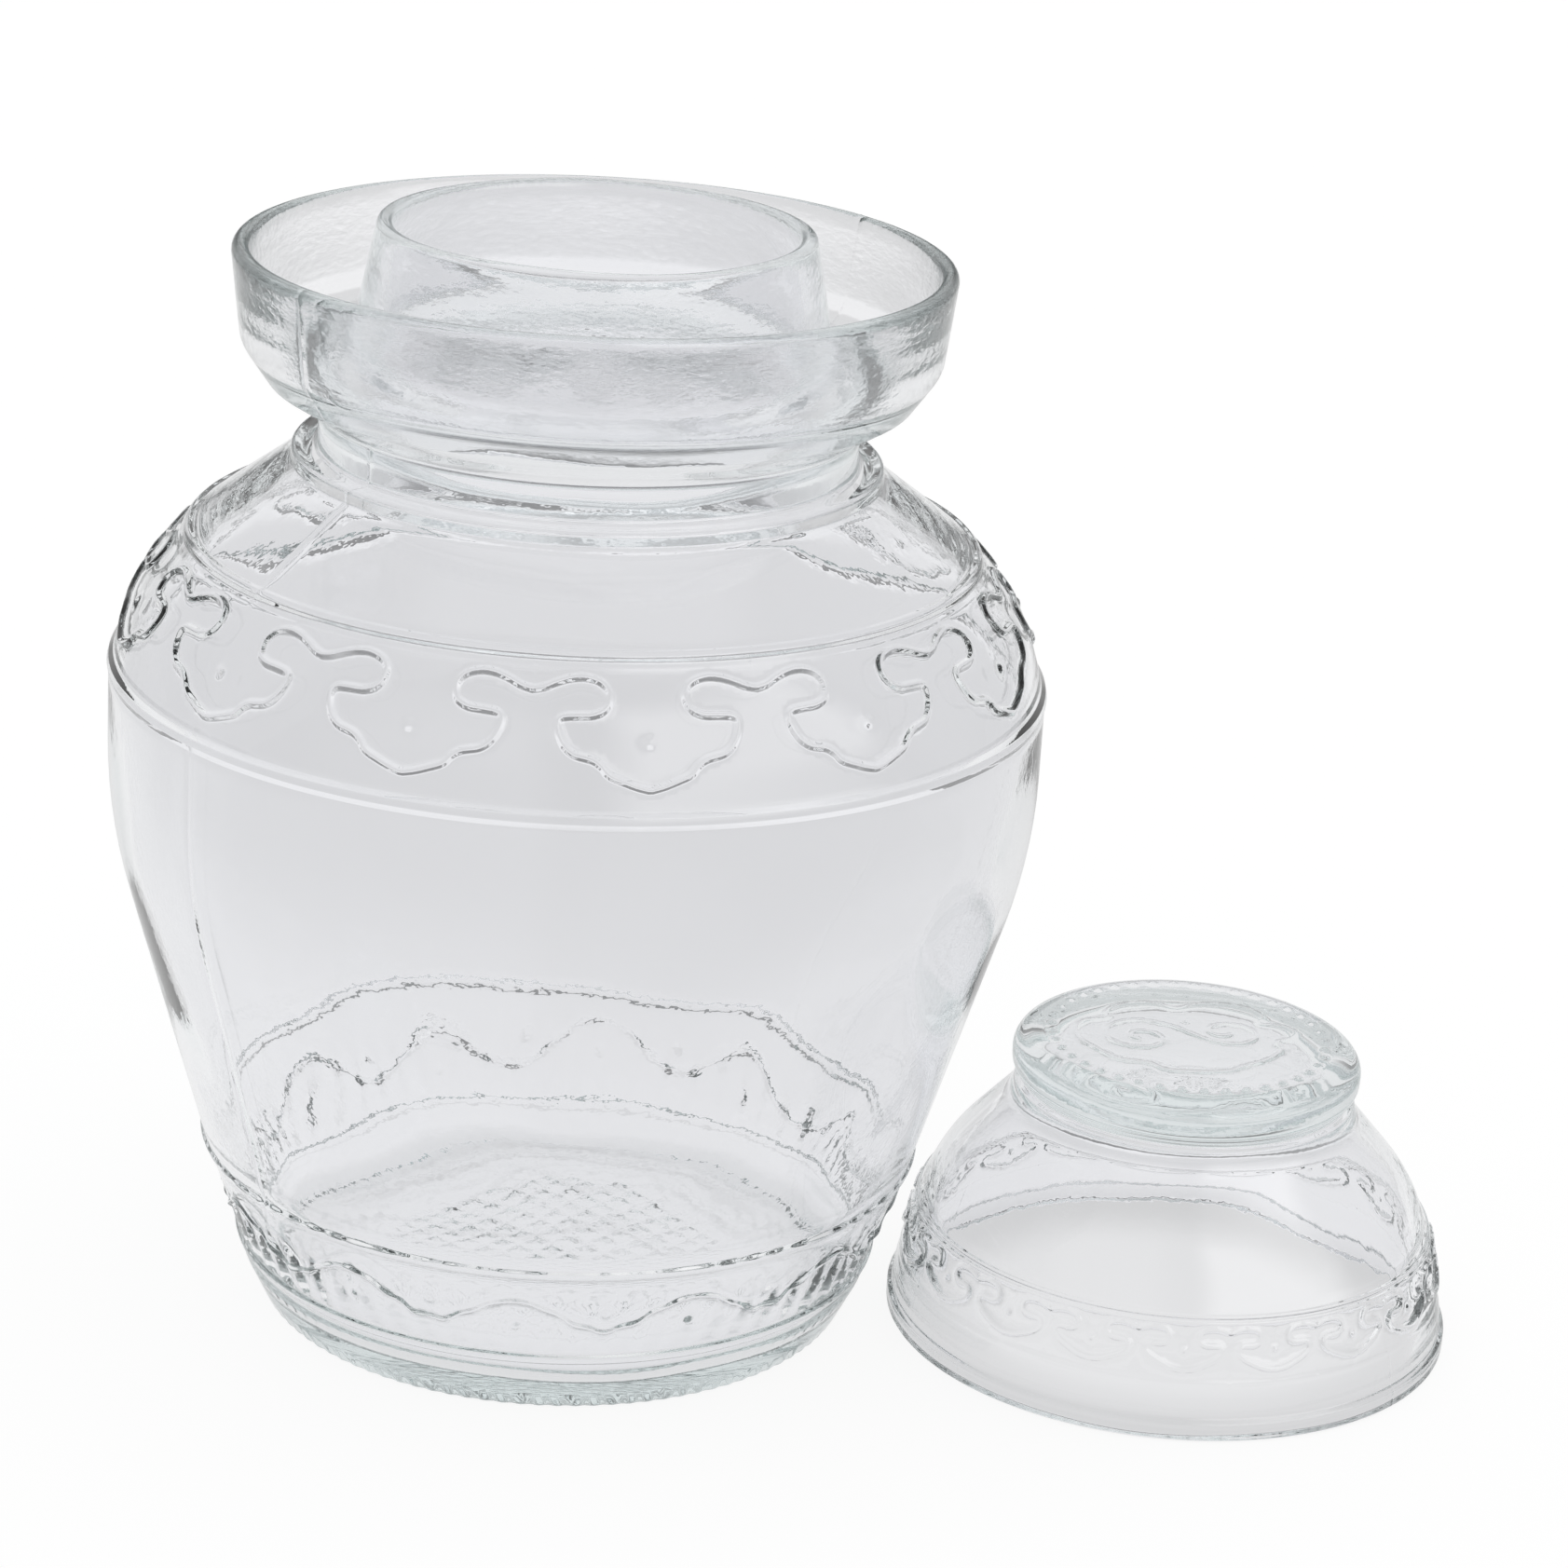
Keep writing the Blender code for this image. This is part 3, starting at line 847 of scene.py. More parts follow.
def smooth_curve(points, closed=False, steps=6):
    """A smooth curve through the points."""
    given = [Vector(point).to_3d() for point in points]
    if closed:
        padded = [given[-1], *given, given[0], given[1]]
    else:
        padded = [2 * given[0] - given[1], *given, 2 * given[-1] - given[-2]]
    made = []
    for p0, p1, p2, p3 in zip(padded, padded[1:], padded[2:], padded[3:]):
        for step in range(steps):
            t = step / steps
            made.append(
                0.5 * (2 * p1 + (p2 - p0) * t + (2 * p0 - 5 * p1 + 4 * p2 - p3) * t ** 2
                       + (3 * p1 - p0 - 3 * p2 + p3) * t ** 3)
            )
    if not closed:
        made.append(given[-1])
    return np.array([(point.x, point.y) for point in made])


def thinned(kept, wanted, gap):
    """The wanted places that are at least the gap away from those kept and from each other."""
    cells = {}
    for place in kept:
        cells.setdefault(tuple(np.floor(place / gap).astype(int)), []).append(place)
    made = []
    for place in wanted:
        column, row = np.floor(place / gap).astype(int)
        near = []
        for i in (column - 1, column, column + 1):
            for j in (row - 1, row, row + 1):
                near.extend(cells.get((i, j), ()))
        if all(math.hypot(*(place - other)) >= gap for other in near):
            cells.setdefault((column, row), []).append(place)
            made.append(place)
    return np.array(made) if made else np.zeros((0, 2))


def grid(low, high, gap):
    """Places in staggered rows that fill a rectangle."""
    rows = max(2, round((high[1] - low[1]) / (gap * GRID_ROW_SHARE)))
    columns = max(2, round((high[0] - low[0]) / gap))
    made = []
    for row in range(rows + 1):
        for column in range(columns + 1):
            across = low[0] + (high[0] - low[0]) * (column + 0.5 * (row % 2)) / columns
            made.append((across, low[1] + (high[1] - low[1]) * row / rows))
    return np.array(made)


def filling(relief, rim, inside, low, high):
    """Places inside a patch: close together on the relief, and wider apart away from it."""
    sampled = relief.samples()
    sampled = sampled[inside(sampled)]
    fine = thinned(rim, sampled, RIM_CLEARANCE)
    near = grid(low, high, NEAR_GAP)
    gap = relief.nearest(near)
    near = near[inside(near) & (gap > NEAR_GAP / 2) & (gap < NEAR_REACH)]
    near = thinned(np.concatenate([rim, fine]), near, NEAR_GAP * NEAR_SPACING)
    far = grid(low, high, PATCH_GAP)
    far = far[inside(far) & (relief.nearest(far) >= NEAR_REACH)]
    far = thinned(np.concatenate([rim, fine, near]), far, PATCH_GAP * FAR_SPACING)
    return np.concatenate([fine, near, far])


def triangles(places):
    """The triangles between the places, each turning from across towards down."""
    flat = [Vector((float(x), float(y))) * FLAT_MAP_SCALE for x, y in places]
    _, _, faces, origins, _, _ = geometry.delaunay_2d_cdt(flat, [], [], 0, MERGE_GAP)
    return [tuple(origins[index][0] for index in face) for face in faces]


def flute_height(phase, down):
    """The soft upright flutes in the wall behind the lower half of the wave."""
    share = min(1, max(0, (down - FLUTE_START) / FLUTE_TOP_FADE))
    share = min(share, max(0, WAVE_PATCH_END - WAVE_PATCH_START - down) / FLUTE_FOOT_FADE)
    return FLUTE_DEPTH * share * (0.5 * math.cos(math.radians(phase * FLUTE_COUNT)) - 0.5)


def off_by(phase, centre):
    """How far one phase lies past another, from -180 to 180 degrees."""
    return (phase - centre + 180) % 360 - 180


def band_patch(shell, upper, phases, seams, start, end, middle_radius, repeats, relief_of, crossings,
               ground_at=None):
    """Fills the band from a ring to a new one below it with relief. Returns the new ring.

    Each repeat is one patch. A crossing is where a rib runs over a patch's side, and how wide it is.
    """
    lower = shell.ring(phases, end, seam_height(seams))
    half = 180 / repeats
    width = math.radians(2 * half) * middle_radius
    depth = end - start
    edge_spots = sorted(edge_places(depth, crossings))
    edge_height = relief_of(0).height(np.array([(-width / 2, spot) for spot in edge_spots]))

    def added(phase, down, proud):
        ground = ground_at(phase, down) if ground_at else 0.0
        return shell.add(phase, start + down, proud + ground)

    edges = []
    for repeat in range(repeats):
        phase = 2 * half * repeat - half
        edges.append([added(phase, spot, proud) for spot, proud in zip(edge_spots, edge_height)])

    def inside(places):
        return (
            (abs(places[:, 0]) < width / 2 - RIM_CLEARANCE)
            & (places[:, 1] > RIM_CLEARANCE)
            & (places[:, 1] < depth - RIM_CLEARANCE)
        )

    for repeat in range(repeats):
        centre = 2 * half * repeat
        relief = relief_of(repeat)
        rim = []
        indices = []
        for ring, down in ((upper, 0.0), (lower, depth)):
            for phase, index in ring:
                away = off_by(phase, centre)
                if abs(away) <= half + PHASE_SLACK:
                    rim.append((math.radians(away) * middle_radius, down))
                    indices.append(index)
        for side, edge in ((-1, edges[repeat]), (1, edges[(repeat + 1) % repeats])):
            for spot, index in zip(edge_spots, edge):
                rim.append((side * width / 2, spot))
                indices.append(index)
        rim = np.array(rim)
        filled = filling(relief, rim, inside, (-width / 2, 0), (width / 2, depth))
        for place, proud in zip(filled, relief.height(filled)):
            phase = centre + math.degrees(place[0] / middle_radius)
            indices.append(added(phase, place[1], proud))
        shell.fill(np.concatenate([rim, filled]), indices)
    return lower


def edge_places(depth, crossings):
    """How far down the points on a patch's side edges lie: close together where a rib crosses."""
    fine = []
    for middle, reach in crossings:
        fine.extend(middle + reach * step / 3 for step in range(-3, 4))
    count = round(depth / PATCH_GAP)
    for step in range(1, count):
        spot = depth * step / count
        if all(abs(spot - other) > NEAR_GAP / 2 for other in fine):
            fine.append(spot)
    return fine


def mirrored(half):
    """A curve and its mirror image, joined in the middle."""
    return np.concatenate([half[::-1] * (-1, 1), half[1:]])


def lappet_relief(width, top, drop, half_curve, rib, dot, dot_share):
    """One hanging lappet with a scroll at each side, and the near ends of its neighbours."""
    corners = [(width / 2 * across, top + drop * down) for across, down in half_curve]
    curve = mirrored(smooth_curve(corners))
    relief = Relief()
    relief.add_rib(curve, *rib)
    for side in (-1, 1):
        neighbour = curve + (side * width, 0)
        reach = width / 2 + 2 * rib[0]
        relief.add_rib(neighbour[abs(neighbour[:, 0]) < reach], *rib)
    relief.add_dot((0, top + drop * dot_share), *dot)
    return relief


def level_line(relief, width, down):
    """A faint raised line right round, at one level."""
    relief.add_rib([(-width, down), (width, down)], SCRIBED_LINE_WIDTH, SCRIBED_LINE_PROUD, 2)


def shoulder_relief(repeat):
    width = math.radians(360 / JAR_REPEATS) * SHOULDER_TURN_RADIUS
    relief = lappet_relief(
        width, LAPPET_TOP, LAPPET_DROP, LAPPET_HALF_CURVE,
        (LAPPET_RIB_WIDTH, LAPPET_RIB_PROUD), (LAPPET_DOT_WIDTH, LAPPET_DOT_PROUD), LAPPET_DOT_SHARE,
    )
    level_line(relief, width, SCRIBED_LINE_DOWN)
    add_seam(relief, repeat, JAR_REPEATS, JAR_SEAMS, SHOULDER_TURN_RADIUS)
    return relief


def wave_relief(repeat):
    """One trough of the wave between two half crests, with its dots."""
    radius = (FOOT_BAND_RADIUS + FOOT_RADIUS) / 2
    width = math.radians(360 / JAR_REPEATS) * radius
    shares = np.linspace(-WAVE_REACH_SHARE, WAVE_REACH_SHARE, WAVE_POINTS)
    levels = WAVE_MIDDLE + WAVE_RISE / 2 * np.cos(2 * math.pi * shares)
    wave = np.stack([width * shares, levels], 1)
    relief = Relief()
    relief.add_rib(wave, WAVE_RIB_WIDTH, WAVE_RIB_PROUD)
    relief.add_dot((0, WAVE_UPPER_DOT), WAVE_DOT_WIDTH, WAVE_DOT_PROUD)
    for side in (-1, 1):
        relief.add_dot((side * width / 2, WAVE_LOWER_DOT), WAVE_DOT_WIDTH, WAVE_DOT_PROUD)
    add_seam(relief, repeat, JAR_REPEATS, JAR_SEAMS, radius)
    return relief


def lid_relief(repeat):
    width = math.radians(360 / LID_REPEATS) * LID_BAND_RADIUS
    relief = lappet_relief(
        width, LID_LAPPET_TOP, LID_LAPPET_DROP, LID_HALF_CURVE,
        (LID_RIB_WIDTH, LID_RIB_PROUD), (LID_DOT_WIDTH, LID_DOT_PROUD), LID_DOT_SHARE,
    )
    level_line(relief, width, LID_LINE_DOWN)
    add_seam(relief, repeat, LID_REPEATS, LID_SEAMS, LID_BAND_RADIUS)
    return relief


def add_seam(relief, repeat, repeats, seams, radius):
    """Adds a mould seam to the relief if one runs through this repeat."""
    for seam in seams:
        away = off_by(seam, 360 / repeats * repeat)
        if abs(away) < 180 / repeats:
            across = math.radians(away) * radius
            relief.add_rib([(across, 0), (across, 2 * LAPPET_PATCH_END)], SEAM_WIDTH, SEAM_PROUD, 1)


def spread_phases(count, seams):
    """Evenly spread phases, with three close together at each seam."""
    even = [360 * step / count for step in range(count)]
    for seam in seams:
        even = [phase for phase in even if abs(off_by(phase, seam)) > 2 * SEAM_HALF_ANGLE]
        even.extend((seam - SEAM_HALF_ANGLE, seam, seam + SEAM_HALF_ANGLE))
    return sorted(even)


def seam_height(seams):
    """How proud a seam makes a ring stand at a phase."""
    def proud_at(phase, spot):
        near = min(abs(off_by(phase, seam)) for seam in seams)
        return SEAM_PROUD if near < SEAM_HALF_ANGLE / 2 else 0.0
    return proud_at


def inner_swell(shell):
    """The slow unevenness of a wall that never touched a mould."""
    def proud_at(phase, spot):
        radius, height = shell.outline.at(spot)
        angle = shell.turn_of(phase)
        place = Vector((radius * math.sin(angle), -radius * math.cos(angle), height)) / SWELL_SIZE
        return SWELL_DEPTH * noise.noise(place) * min(1, radius / SWELL_SIZE)
    return proud_at


def turned_rows(shell, previous, phases, start, end, proud_at, marks_at=None):
    """Rings from start to end, bridged to the previous ring if there is one. Returns the last."""
    for spot in shell.outline.stations(start, end):
        if previous is not None and spot == start:
            continue
        marks = marks_at(spot) if marks_at else PLAIN
        ring = shell.ring(phases, spot, proud_at, marks)
        if previous is not None:
            shell.bridge(previous, ring)
        previous = ring
    return previous


def build_jar(place, material):
    """The jar, from the middle of its floor up the inside, and down the outside to its base."""
    top = jar_heights()
    wall = jar_wall_corners(top)
    outline = Outline(jar_inside(top, wall) + jar_outside(top, wall) + jar_underside())
    shell = Shell(outline, JAR_ZERO_TURN, JAR_SWING_SHARE)
    phases = spread_phases(JAR_COLUMNS, JAR_SEAMS)
    mouth = outline.spot_of(MOUTH_RADIUS + COLLAR_RIM_WALL / 2, top["mouth"])
    rim = outline.spot_of(MOAT_RIM_RADIUS - MOAT_RIM_WALL / 2, top["moat_wall"])
    crease = outline.spot_of(MOAT_CREASE_RADIUS, top["moat_belly"])
    neck_foot = outline.spot_of(SHOULDER_TOP_RADIUS, top["shoulder"])
    upper_ridge = outline.spot_of(SHOULDER_BAND_RADIUS, top["shoulder_band"])
    lower_ridge = outline.spot_of(FOOT_BAND_RADIUS, top["foot_band"])
    heel = outline.spot_of(STANDING_RADIUS, 0)
    lattice = outline.spot_of(LATTICE_RADIUS, PUSH_UP_HEIGHT)

    def marks_at(spot):
        if spot < mouth - 2 * MOUTH_ROUNDING:
            return BLOWN
        if spot < mouth + MOUTH_ROUNDING:
            return PLAIN
        if spot < crease:
            return MOAT_MARKS
        return NECK_MARKS if spot < neck_foot else PLAIN

    swelling = inner_swell(shell)
    seamed = seam_height(JAR_SEAMS)
    centre = shell.add(0, 0.0, 0.0, BLOWN)
    first = outline.stations(0.0, mouth)[1]
    ring = shell.ring(phases, first, swelling, BLOWN)
    shell.fan(ring, centre, True)
    ring = turned_rows(shell, ring, phases, first, mouth, swelling, marks_at)
    ring = turned_rows(shell, ring, phases, mouth, rim, None, marks_at)

    start = upper_ridge + LAPPET_PATCH_START
    end = upper_ridge + LAPPET_PATCH_END
    scroll = LAPPET_TOP + LAPPET_DROP * LAPPET_HALF_CURVE[-1][1]
    crossings = [(SCRIBED_LINE_DOWN, SCRIBED_LINE_WIDTH / 2), (scroll, LAPPET_RIB_WIDTH / 2)]
    ring = turned_rows(shell, ring, phases, rim, start, seamed, marks_at)
    ring = band_patch(shell, ring, phases, JAR_SEAMS, start, end, SHOULDER_TURN_RADIUS, JAR_REPEATS,
                      shoulder_relief, crossings)

    above = end
    start = lower_ridge + WAVE_PATCH_START
    end = lower_ridge + WAVE_PATCH_END
    middle_radius = (FOOT_BAND_RADIUS + FOOT_RADIUS) / 2
    crest = WAVE_MIDDLE - WAVE_RISE / 2
    crossings = [(crest, WAVE_RIB_WIDTH / 2), (WAVE_LOWER_DOT, WAVE_DOT_WIDTH / 2)]
    ring = turned_rows(shell, ring, phases, above, start, seamed)
    ring = band_patch(shell, ring, phases, JAR_SEAMS, start, end, middle_radius, JAR_REPEATS,
                      wave_relief, crossings, flute_height)

    below_notches = heel + NOTCH_RINGS[-1][0] + RIM_CLEARANCE
    ring = turned_rows(shell, ring, phases, end, heel + NOTCH_RINGS[0][0], None)
    ring = notch_rings(shell, ring, heel)
    plain = shell.ring(phases, below_notches)
    shell.bridge(ring, plain)
    ring = turned_rows(shell, plain, phases, below_notches, lattice, None)
    lattice_patch(shell, ring)
    return shell.mesh_object("jar_glass_body", place, material)


def notch_rings(shell, previous, heel):
    """The rings that cut notches round the heel. Returns the last."""
    phases = [360 * step / NOTCH_COLUMNS for step in range(NOTCH_COLUMNS)]
    for spot, depth in NOTCH_RINGS[1:-1]:
        def proud_at(phase, here):
            return -depth * (0.5 - 0.5 * math.cos(math.radians(phase * NOTCH_COUNT)))
        ring = shell.ring(phases, heel + spot, proud_at)
        shell.bridge(previous, ring)
        previous = ring
    return previous


def lattice_patch(shell, ring):
    """The pushed-up middle of the base, with a raised lattice across it."""
    rim = np.array([shell.points[index][:2] for _, index in ring])
    indices = [index for _, index in ring]
    edge_height = shell.points[indices[0]][2]
    edge_radius = math.hypot(*rim[0])
    gap = LATTICE_PITCH / LATTICE_STEPS
    count = math.ceil(edge_radius / gap)
    axis = np.arange(-count, count + 1) * gap
    across, down = np.meshgrid(axis, axis)
    places = np.stack([across.ravel(), down.ravel()], 1)
    turned = places @ np.array([[1, 1], [-1, 1]]) / math.sqrt(2)
    turned = turned[np.hypot(*turned.T) < edge_radius - gap / 2]
    for x, y in turned:
        radius = math.hypot(x, y)
        height = edge_height + (PUSH_UP_HEIGHT - edge_height) * (1 - radius / edge_radius)
        fade = min(1, max(0, (edge_radius - radius) / LATTICE_FADE))
        u = (x + y) / math.sqrt(2) * 2 * math.pi / LATTICE_PITCH
        v = (y - x) / math.sqrt(2) * 2 * math.pi / LATTICE_PITCH
        line = max(abs(math.cos(u / 2)), abs(math.cos(v / 2))) ** LATTICE_SHARPNESS
        indices.append(shell.add_flat(x, y, height - LATTICE_PROUD * line * fade))
    shell.fill(np.concatenate([rim, turned]), indices)


def knob_relief():
    """The ring of dots and the curling cloud on the knob's flat top."""
    relief = Relief()
    for step in range(KNOB_DOT_COUNT):
        turn = 2 * math.pi * step / KNOB_DOT_COUNT
        centre = (KNOB_DOT_RADIUS * math.sin(turn), -KNOB_DOT_RADIUS * math.cos(turn))
        relief.add_dot(centre, KNOB_DOT_WIDTH, KNOB_DOT_PROUD)
    for curve, closed in ((CLOUD_OUTLINE, True), (CLOUD_SCROLL, False)):
        points = smooth_curve([(x * MM, y * MM) for x, y in curve], closed)
        if closed:
            points = np.concatenate([points, points[:1]])
        relief.add_rib(points, KNOB_LINE_WIDTH, KNOB_LINE_PROUD)
    relief.add_dot(KNOB_MARK_PLACE, KNOB_DOT_WIDTH / 2, KNOB_DOT_PROUD / 2)
    return relief


def knob_patch(shell, ring):
    """Fills the flat top of the knob with its ornament."""
    relief = knob_relief()
    radius = KNOB_PATCH_RADIUS
    rim = np.array([shell.points[index][:2] for _, index in ring])
    indices = [index for _, index in ring]

    def inside(places):
        return np.hypot(*places.T) < radius - RIM_CLEARANCE

    filled = filling(relief, rim, inside, (-radius, -radius), (radius, radius))
    for place, proud in zip(filled, relief.height(filled)):
        indices.append(shell.add_flat(*place, LID_HEIGHT + proud))
    shell.fill(np.concatenate([rim, filled]), indices, upwards=True)


def build_lid(place, material):
    """The lid, from the flat top of its knob down the outside, and up the inside to its roof."""
    wall = lid_wall_corners()
    outline = Outline(lid_outside(wall) + lid_inside(wall))
    shell = Shell(outline, LID_ZERO_TURN, LID_SWING_SHARE)
    phases = spread_phases(LID_COLUMNS, LID_SEAMS)
    top_edge = outline.spot_of(KNOB_PATCH_RADIUS, LID_HEIGHT)
    shoulder = outline.spot_of(LID_SHOULDER_RADIUS, wall["shoulder"][1])
    rim = outline.spot_of(LID_RIM_RADIUS - LID_WALL / 2, 0)
    ring = shell.ring(phases, top_edge)
    knob_patch(shell, ring)

    start = shoulder + LID_PATCH_START
    end = shoulder + LID_PATCH_END
    scroll = LID_LAPPET_TOP + LID_LAPPET_DROP * LID_HALF_CURVE[-1][1]
    crossings = [(scroll, LID_RIB_WIDTH / 2), (LID_LINE_DOWN, SCRIBED_LINE_WIDTH / 2)]
    ring = turned_rows(shell, ring, phases, top_edge, start, None)
    ring = band_patch(shell, ring, phases, LID_SEAMS, start, end, LID_BAND_RADIUS, LID_REPEATS,
                      lid_relief, crossings)
    ring = turned_rows(shell, ring, phases, end, rim, seam_height(LID_SEAMS))
    last = outline.stations(rim, outline.length)[-2]
    ring = turned_rows(shell, ring, phases, rim, last, inner_swell(shell), lambda spot: BLOWN)
    centre = shell.add(0, outline.length, 0.0, BLOWN)
    shell.fan(ring, centre, False)
    return shell.mesh_object("lid_glass_body", place, material)


class Graph:
    """A node tree, with short ways to add to it. A value is a number or another node's socket."""

    def __init__(self, holder):
        holder.use_nodes = True
        self.nodes = holder.node_tree.nodes
        self.link = holder.node_tree.links.new

    def add(self, kind, **settings):
        node = self.nodes.new(kind)
        for name, value in settings.items():
            setattr(node, name, value)
        return node

    def math(self, operation, *values):
        node = self.add("ShaderNodeMath", operation=operation)
        for socket, value in zip(node.inputs, values):
            if isinstance(value, bpy.types.NodeSocket):
                self.link(value, socket)
            else:
                socket.default_value = value
        return node.outputs[0]

    def plus(self, first, second):
        return self.math("ADD", first, second)

    def times(self, first, second):
        return self.math("MULTIPLY", first, second)

    def less(self, first, second):
        return self.math("SUBTRACT", first, second)

    def parts(self, vector):
        """The X, Y and Z of a vector."""
        split = self.add("ShaderNodeSeparateXYZ")
        self.link(vector, split.inputs[0])
        return split.outputs

    def smooth_step(self, value, start, end, low=0.0, high=1.0):
        """A smooth change from low, where the value is start, to high, where it is end."""
        node = self.add("ShaderNodeMapRange", interpolation_type="SMOOTHSTEP")
        node.inputs["From Min"].default_value = start
        node.inputs["From Max"].default_value = end
        node.inputs["To Min"].default_value = low
        node.inputs["To Max"].default_value = high
        self.link(value, node.inputs["Value"])
        return node.outputs["Result"]

    def window(self, value, low, high, soft):
        """1 where the value lies between low and high, with soft edges."""
        rise = self.smooth_step(value, low - soft / 2, low + soft / 2)
        fall = self.smooth_step(value, high - soft / 2, high + soft / 2, 1.0, 0.0)
        return self.times(rise, fall)

    def noise_height(self, place, stretch, grain):
        """The height of a noise with this scale, detail and depth, stretched along the axes."""
        scale, detail, depth = grain
        stretched = self.add("ShaderNodeVectorMath", operation="MULTIPLY")
        stretched.inputs[1].default_value = stretch
        self.link(place, stretched.inputs[0])
        node = self.add("ShaderNodeTexNoise")
        node.inputs["Scale"].default_value = scale
        node.inputs["Detail"].default_value = detail
        self.link(stretched.outputs[0], node.inputs["Vector"])
        return self.times(node.outputs["Fac"], depth)


def glass(name):
    """Clear glass, textured where its surface is marked, and tinted in its depth."""
    material = bpy.data.materials.new(name)
    graph = Graph(material)
    output = graph.nodes["Material Output"]
    shader = graph.nodes["Principled BSDF"]
    shader.inputs["Base Color"].default_value = GLASS_COLOUR
    shader.inputs["IOR"].default_value = GLASS_INDEX
    shader.inputs["Transmission Weight"].default_value = 1
    place = graph.add("ShaderNodeTexCoord").outputs["Object"]
    height = graph.noise_height(place, (1, 1, 1), RIPPLE)
    for mark, (stretch, grain) in MARK_GRAINS.items():
        mask = graph.add("ShaderNodeAttribute", attribute_name=mark).outputs["Fac"]
        grained = graph.times(graph.noise_height(place, stretch, grain), mask)
        if mark == "hammered":
            graph.link(graph.times(mask, HAMMERED_ROUGHNESS), shader.inputs["Roughness"])
        height = graph.plus(height, grained)
    bump = graph.add("ShaderNodeBump")
    bump.inputs["Distance"].default_value = 1
    graph.link(height, bump.inputs["Height"])
    graph.link(bump.outputs["Normal"], shader.inputs["Normal"])
    rays = graph.add("ShaderNodeLightPath")
    clear = graph.add("ShaderNodeBsdfTransparent")
    clear.inputs["Color"].default_value = SHADOW_COLOUR
    mix = graph.add("ShaderNodeMixShader")
    graph.link(rays.outputs["Is Shadow Ray"], mix.inputs["Fac"])
    graph.link(shader.outputs["BSDF"], mix.inputs[1])
    graph.link(clear.outputs["BSDF"], mix.inputs[2])
    graph.link(mix.outputs["Shader"], output.inputs["Surface"])
    absorb = graph.add("ShaderNodeVolumeAbsorption")
    absorb.inputs["Color"].default_value = DEPTH_COLOUR
    absorb.inputs["Density"].default_value = DEPTH_DENSITY
    graph.link(absorb.outputs["Volume"], output.inputs["Volume"])
    return material


def make_world():
    """A white studio: a pale backdrop behind, dimmer sides and front, and soft lights."""
    world = bpy.data.worlds.new("studio")
    graph = Graph(world)
    shader = graph.nodes["Background"]
    rays = graph.add("ShaderNodeLightPath").outputs
    way = graph.parts(graph.add("ShaderNodeTexCoord").outputs["Generated"])
    turn = graph.math("ARCTAN2", way["X"], graph.times(way["Y"], -1.0))
    turn = graph.times(turn, math.degrees(1))
    rise = graph.times(graph.math("ARCSINE", way["Z"]), math.degrees(1))
    aside = graph.math("ABSOLUTE", turn)
    front = graph.smooth_step(aside, *FRONT_EDGE, FRONT_LEVEL, SIDE_LEVEL)
    back = graph.smooth_step(aside, *BACK_EDGE, 0.0, BACK_LEVEL - SIDE_LEVEL)
    behind = graph.smooth_step(aside, *HORIZON_SHADE_EDGE, 0.0, HORIZON_SHADE_SHARE)
    shade = graph.times(graph.window(rise, *HORIZON_SHADE), behind)
    studio = graph.times(graph.plus(front, back), graph.less(1.0, shade))
    shine = graph.less(1.0, graph.times(rays["Is Transmission Ray"], SOFT_HIDDEN_SHARE))
    for low_turn, high_turn, low_rise, high_rise, soft, gain in SOFT_LIGHTS:
        across = graph.window(turn, low_turn, high_turn, soft)
        up = graph.window(rise, low_rise, high_rise, soft)
        light = graph.times(graph.times(graph.times(across, up), gain), shine)
        studio = graph.plus(studio, light)
    studio = graph.plus(studio, graph.smooth_step(rise, *TOP_LIGHT_EDGE, 0.0, TOP_LIGHT_GAIN))
    diffuse = rays["Is Diffuse Ray"]
    plain = graph.times(diffuse, DIFFUSE_LEVEL)
    strength = graph.plus(plain, graph.times(graph.less(1.0, diffuse), studio))
    seen = rays["Is Camera Ray"]
    strength = graph.plus(graph.times(strength, graph.less(1.0, seen)), seen)
    shader.inputs["Color"].default_value = (1, 1, 1, 1)
    graph.link(strength, shader.inputs["Strength"])
    bpy.context.scene.world = world


def contact_shade(graph, place, axis, inner_edge, outer_edge, inner_share, rim_share):
    """A painted shadow in the floor's glow under a piece: the share of its glow the floor keeps, least
    where the piece's rim stands.
    """
    away = graph.add("ShaderNodeVectorMath", operation="DISTANCE")
    away.inputs[1].default_value = (axis.x, axis.y, 0)
    graph.link(place, away.inputs[0])
    inner = graph.smooth_step(away.outputs["Value"], *inner_edge, inner_share, rim_share)
    outer = graph.smooth_step(away.outputs["Value"], *outer_edge, 0.0, 1 - rim_share)
    return graph.plus(inner, outer)


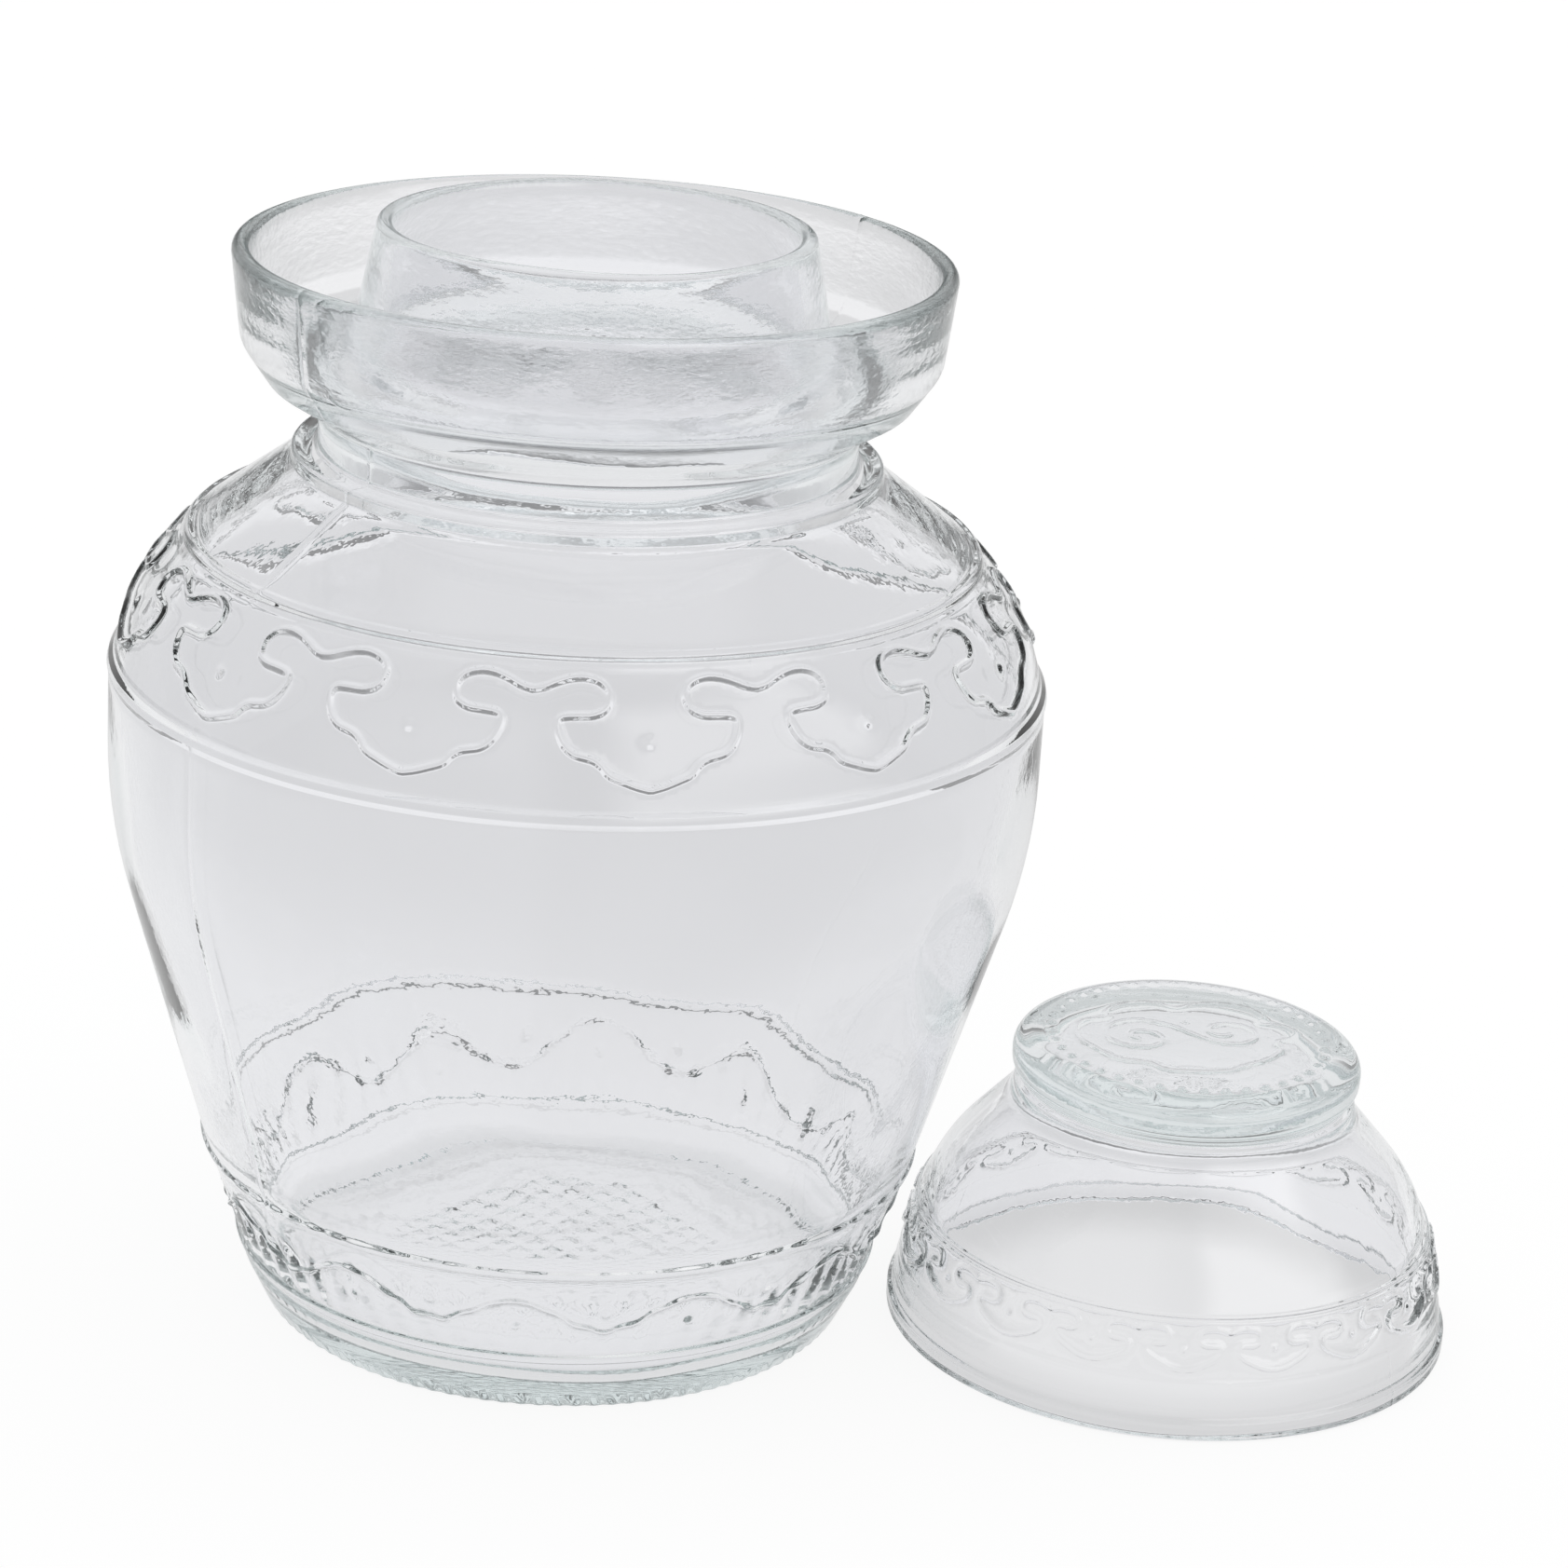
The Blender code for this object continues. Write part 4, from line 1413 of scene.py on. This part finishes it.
def make_floor(jar_axis, lid_axis):
    """A pale floor that keeps a faint shadow, and looks evenly lit from the camera. Its glow seen
    through the glass holds painted shade.
    """
    mesh = bpy.data.meshes.new("floor")
    half = FLOOR_WIDTH / 2
    corners = [(-half, -half, 0), (half, -half, 0), (half, half, 0), (-half, half, 0)]
    mesh.from_pydata(corners, [], [(0, 1, 2, 3)])
    floor = bpy.data.objects.new("floor", mesh)
    floor.location.z = -FLOOR_GAP
    bpy.context.scene.collection.objects.link(floor)
    material = bpy.data.materials.new("floor_white")
    graph = Graph(material)
    shader = graph.nodes["Principled BSDF"]
    shader.inputs["Base Color"].default_value = (FLOOR_COLOUR, FLOOR_COLOUR, FLOOR_COLOUR, 1)
    shader.inputs["Roughness"].default_value = 1
    shader.inputs["Specular IOR Level"].default_value = 0
    shader.inputs["Emission Color"].default_value = (1, 1, 1, 1)
    rays = graph.add("ShaderNodeLightPath").outputs
    place = graph.add("ShaderNodeTexCoord").outputs["Object"]
    spot = graph.parts(place)
    # Painted shade in the glow seen through the glass: dimmer round a spot behind the pieces, and
    # dimmer towards the sides.
    ahead = graph.less(spot["Y"], FLOOR_DIM_MIDDLE)
    squares = graph.plus(graph.times(ahead, ahead), graph.times(spot["X"], spot["X"]))
    away = graph.math("POWER", squares, 0.5)
    through = graph.smooth_step(away, *FLOOR_DIM_EDGE, FLOOR_DIM_LEVEL, NEAR_FLOOR_LEVEL)
    aside = graph.math("ABSOLUTE", spot["X"])
    through = graph.times(through, graph.smooth_step(aside, *SIDE_FLOOR_EDGE, 1.0, SIDE_FLOOR_SHARE))
    # Painted shadow under the jar and under the lid, in the glow seen through the glass.
    for axis, shade in ((jar_axis, JAR_SHADE), (lid_axis, LID_SHADE)):
        through = graph.times(through, contact_shade(graph, place, axis, *shade))
    glassy = graph.math("MAXIMUM", rays["Is Glossy Ray"], rays["Is Transmission Ray"])
    straight = graph.times(rays["Is Camera Ray"], CAMERA_FLOOR_LEVEL)
    glow = graph.plus(straight, graph.times(through, glassy))
    graph.link(glow, shader.inputs["Emission Strength"])
    floor.data.materials.append(material)


def make_camera(jar_axis):
    yaw, pitch, roll = (math.radians(angle) for angle in (CAMERA_YAW, CAMERA_PITCH, CAMERA_ROLL))
    ahead = math.cos(pitch)
    forward = Vector((math.sin(yaw) * ahead, math.cos(yaw) * ahead, -math.sin(pitch)))
    level = Vector((math.cos(yaw), -math.sin(yaw), 0))
    upright = level.cross(forward)
    right = level * math.cos(roll) + upright * math.sin(roll)
    up = upright * math.cos(roll) - level * math.sin(roll)
    data = bpy.data.cameras.new("photo_camera")
    data.lens = CAMERA_LENS
    data.sensor_width = SENSOR_WIDTH
    camera = bpy.data.objects.new("photo_camera", data)
    place = jar_axis + Vector((0, -CAMERA_BACK, CAMERA_HEIGHT))
    turn = Matrix((right, up, -forward)).transposed().to_4x4()
    camera.matrix_world = Matrix.Translation(place) @ turn
    bpy.context.scene.collection.objects.link(camera)
    bpy.context.scene.camera = camera


def axis_of(node):
    """The foot of a turned node's axis."""
    low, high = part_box(node)
    return Vector(((low.x + high.x) / 2, (low.y + high.y) / 2, low.z))


jar_axis = axis_of("jar")
lid_axis = axis_of("lid")
jar = build_jar(jar_axis, glass("jar_glass"))
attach(jar, "jar")
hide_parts("jar")
lid = build_lid(lid_axis, glass("lid_glass"))
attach(lid, "lid")
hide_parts("lid")

make_world()
make_floor(jar_axis, lid_axis)
make_camera(jar_axis)

scene = bpy.context.scene
scene.view_settings.view_transform = "Standard"
for kind, count in BOUNCES.items():
    setattr(scene.cycles, kind, count)
scene.cycles.caustics_reflective = False
scene.cycles.caustics_refractive = False
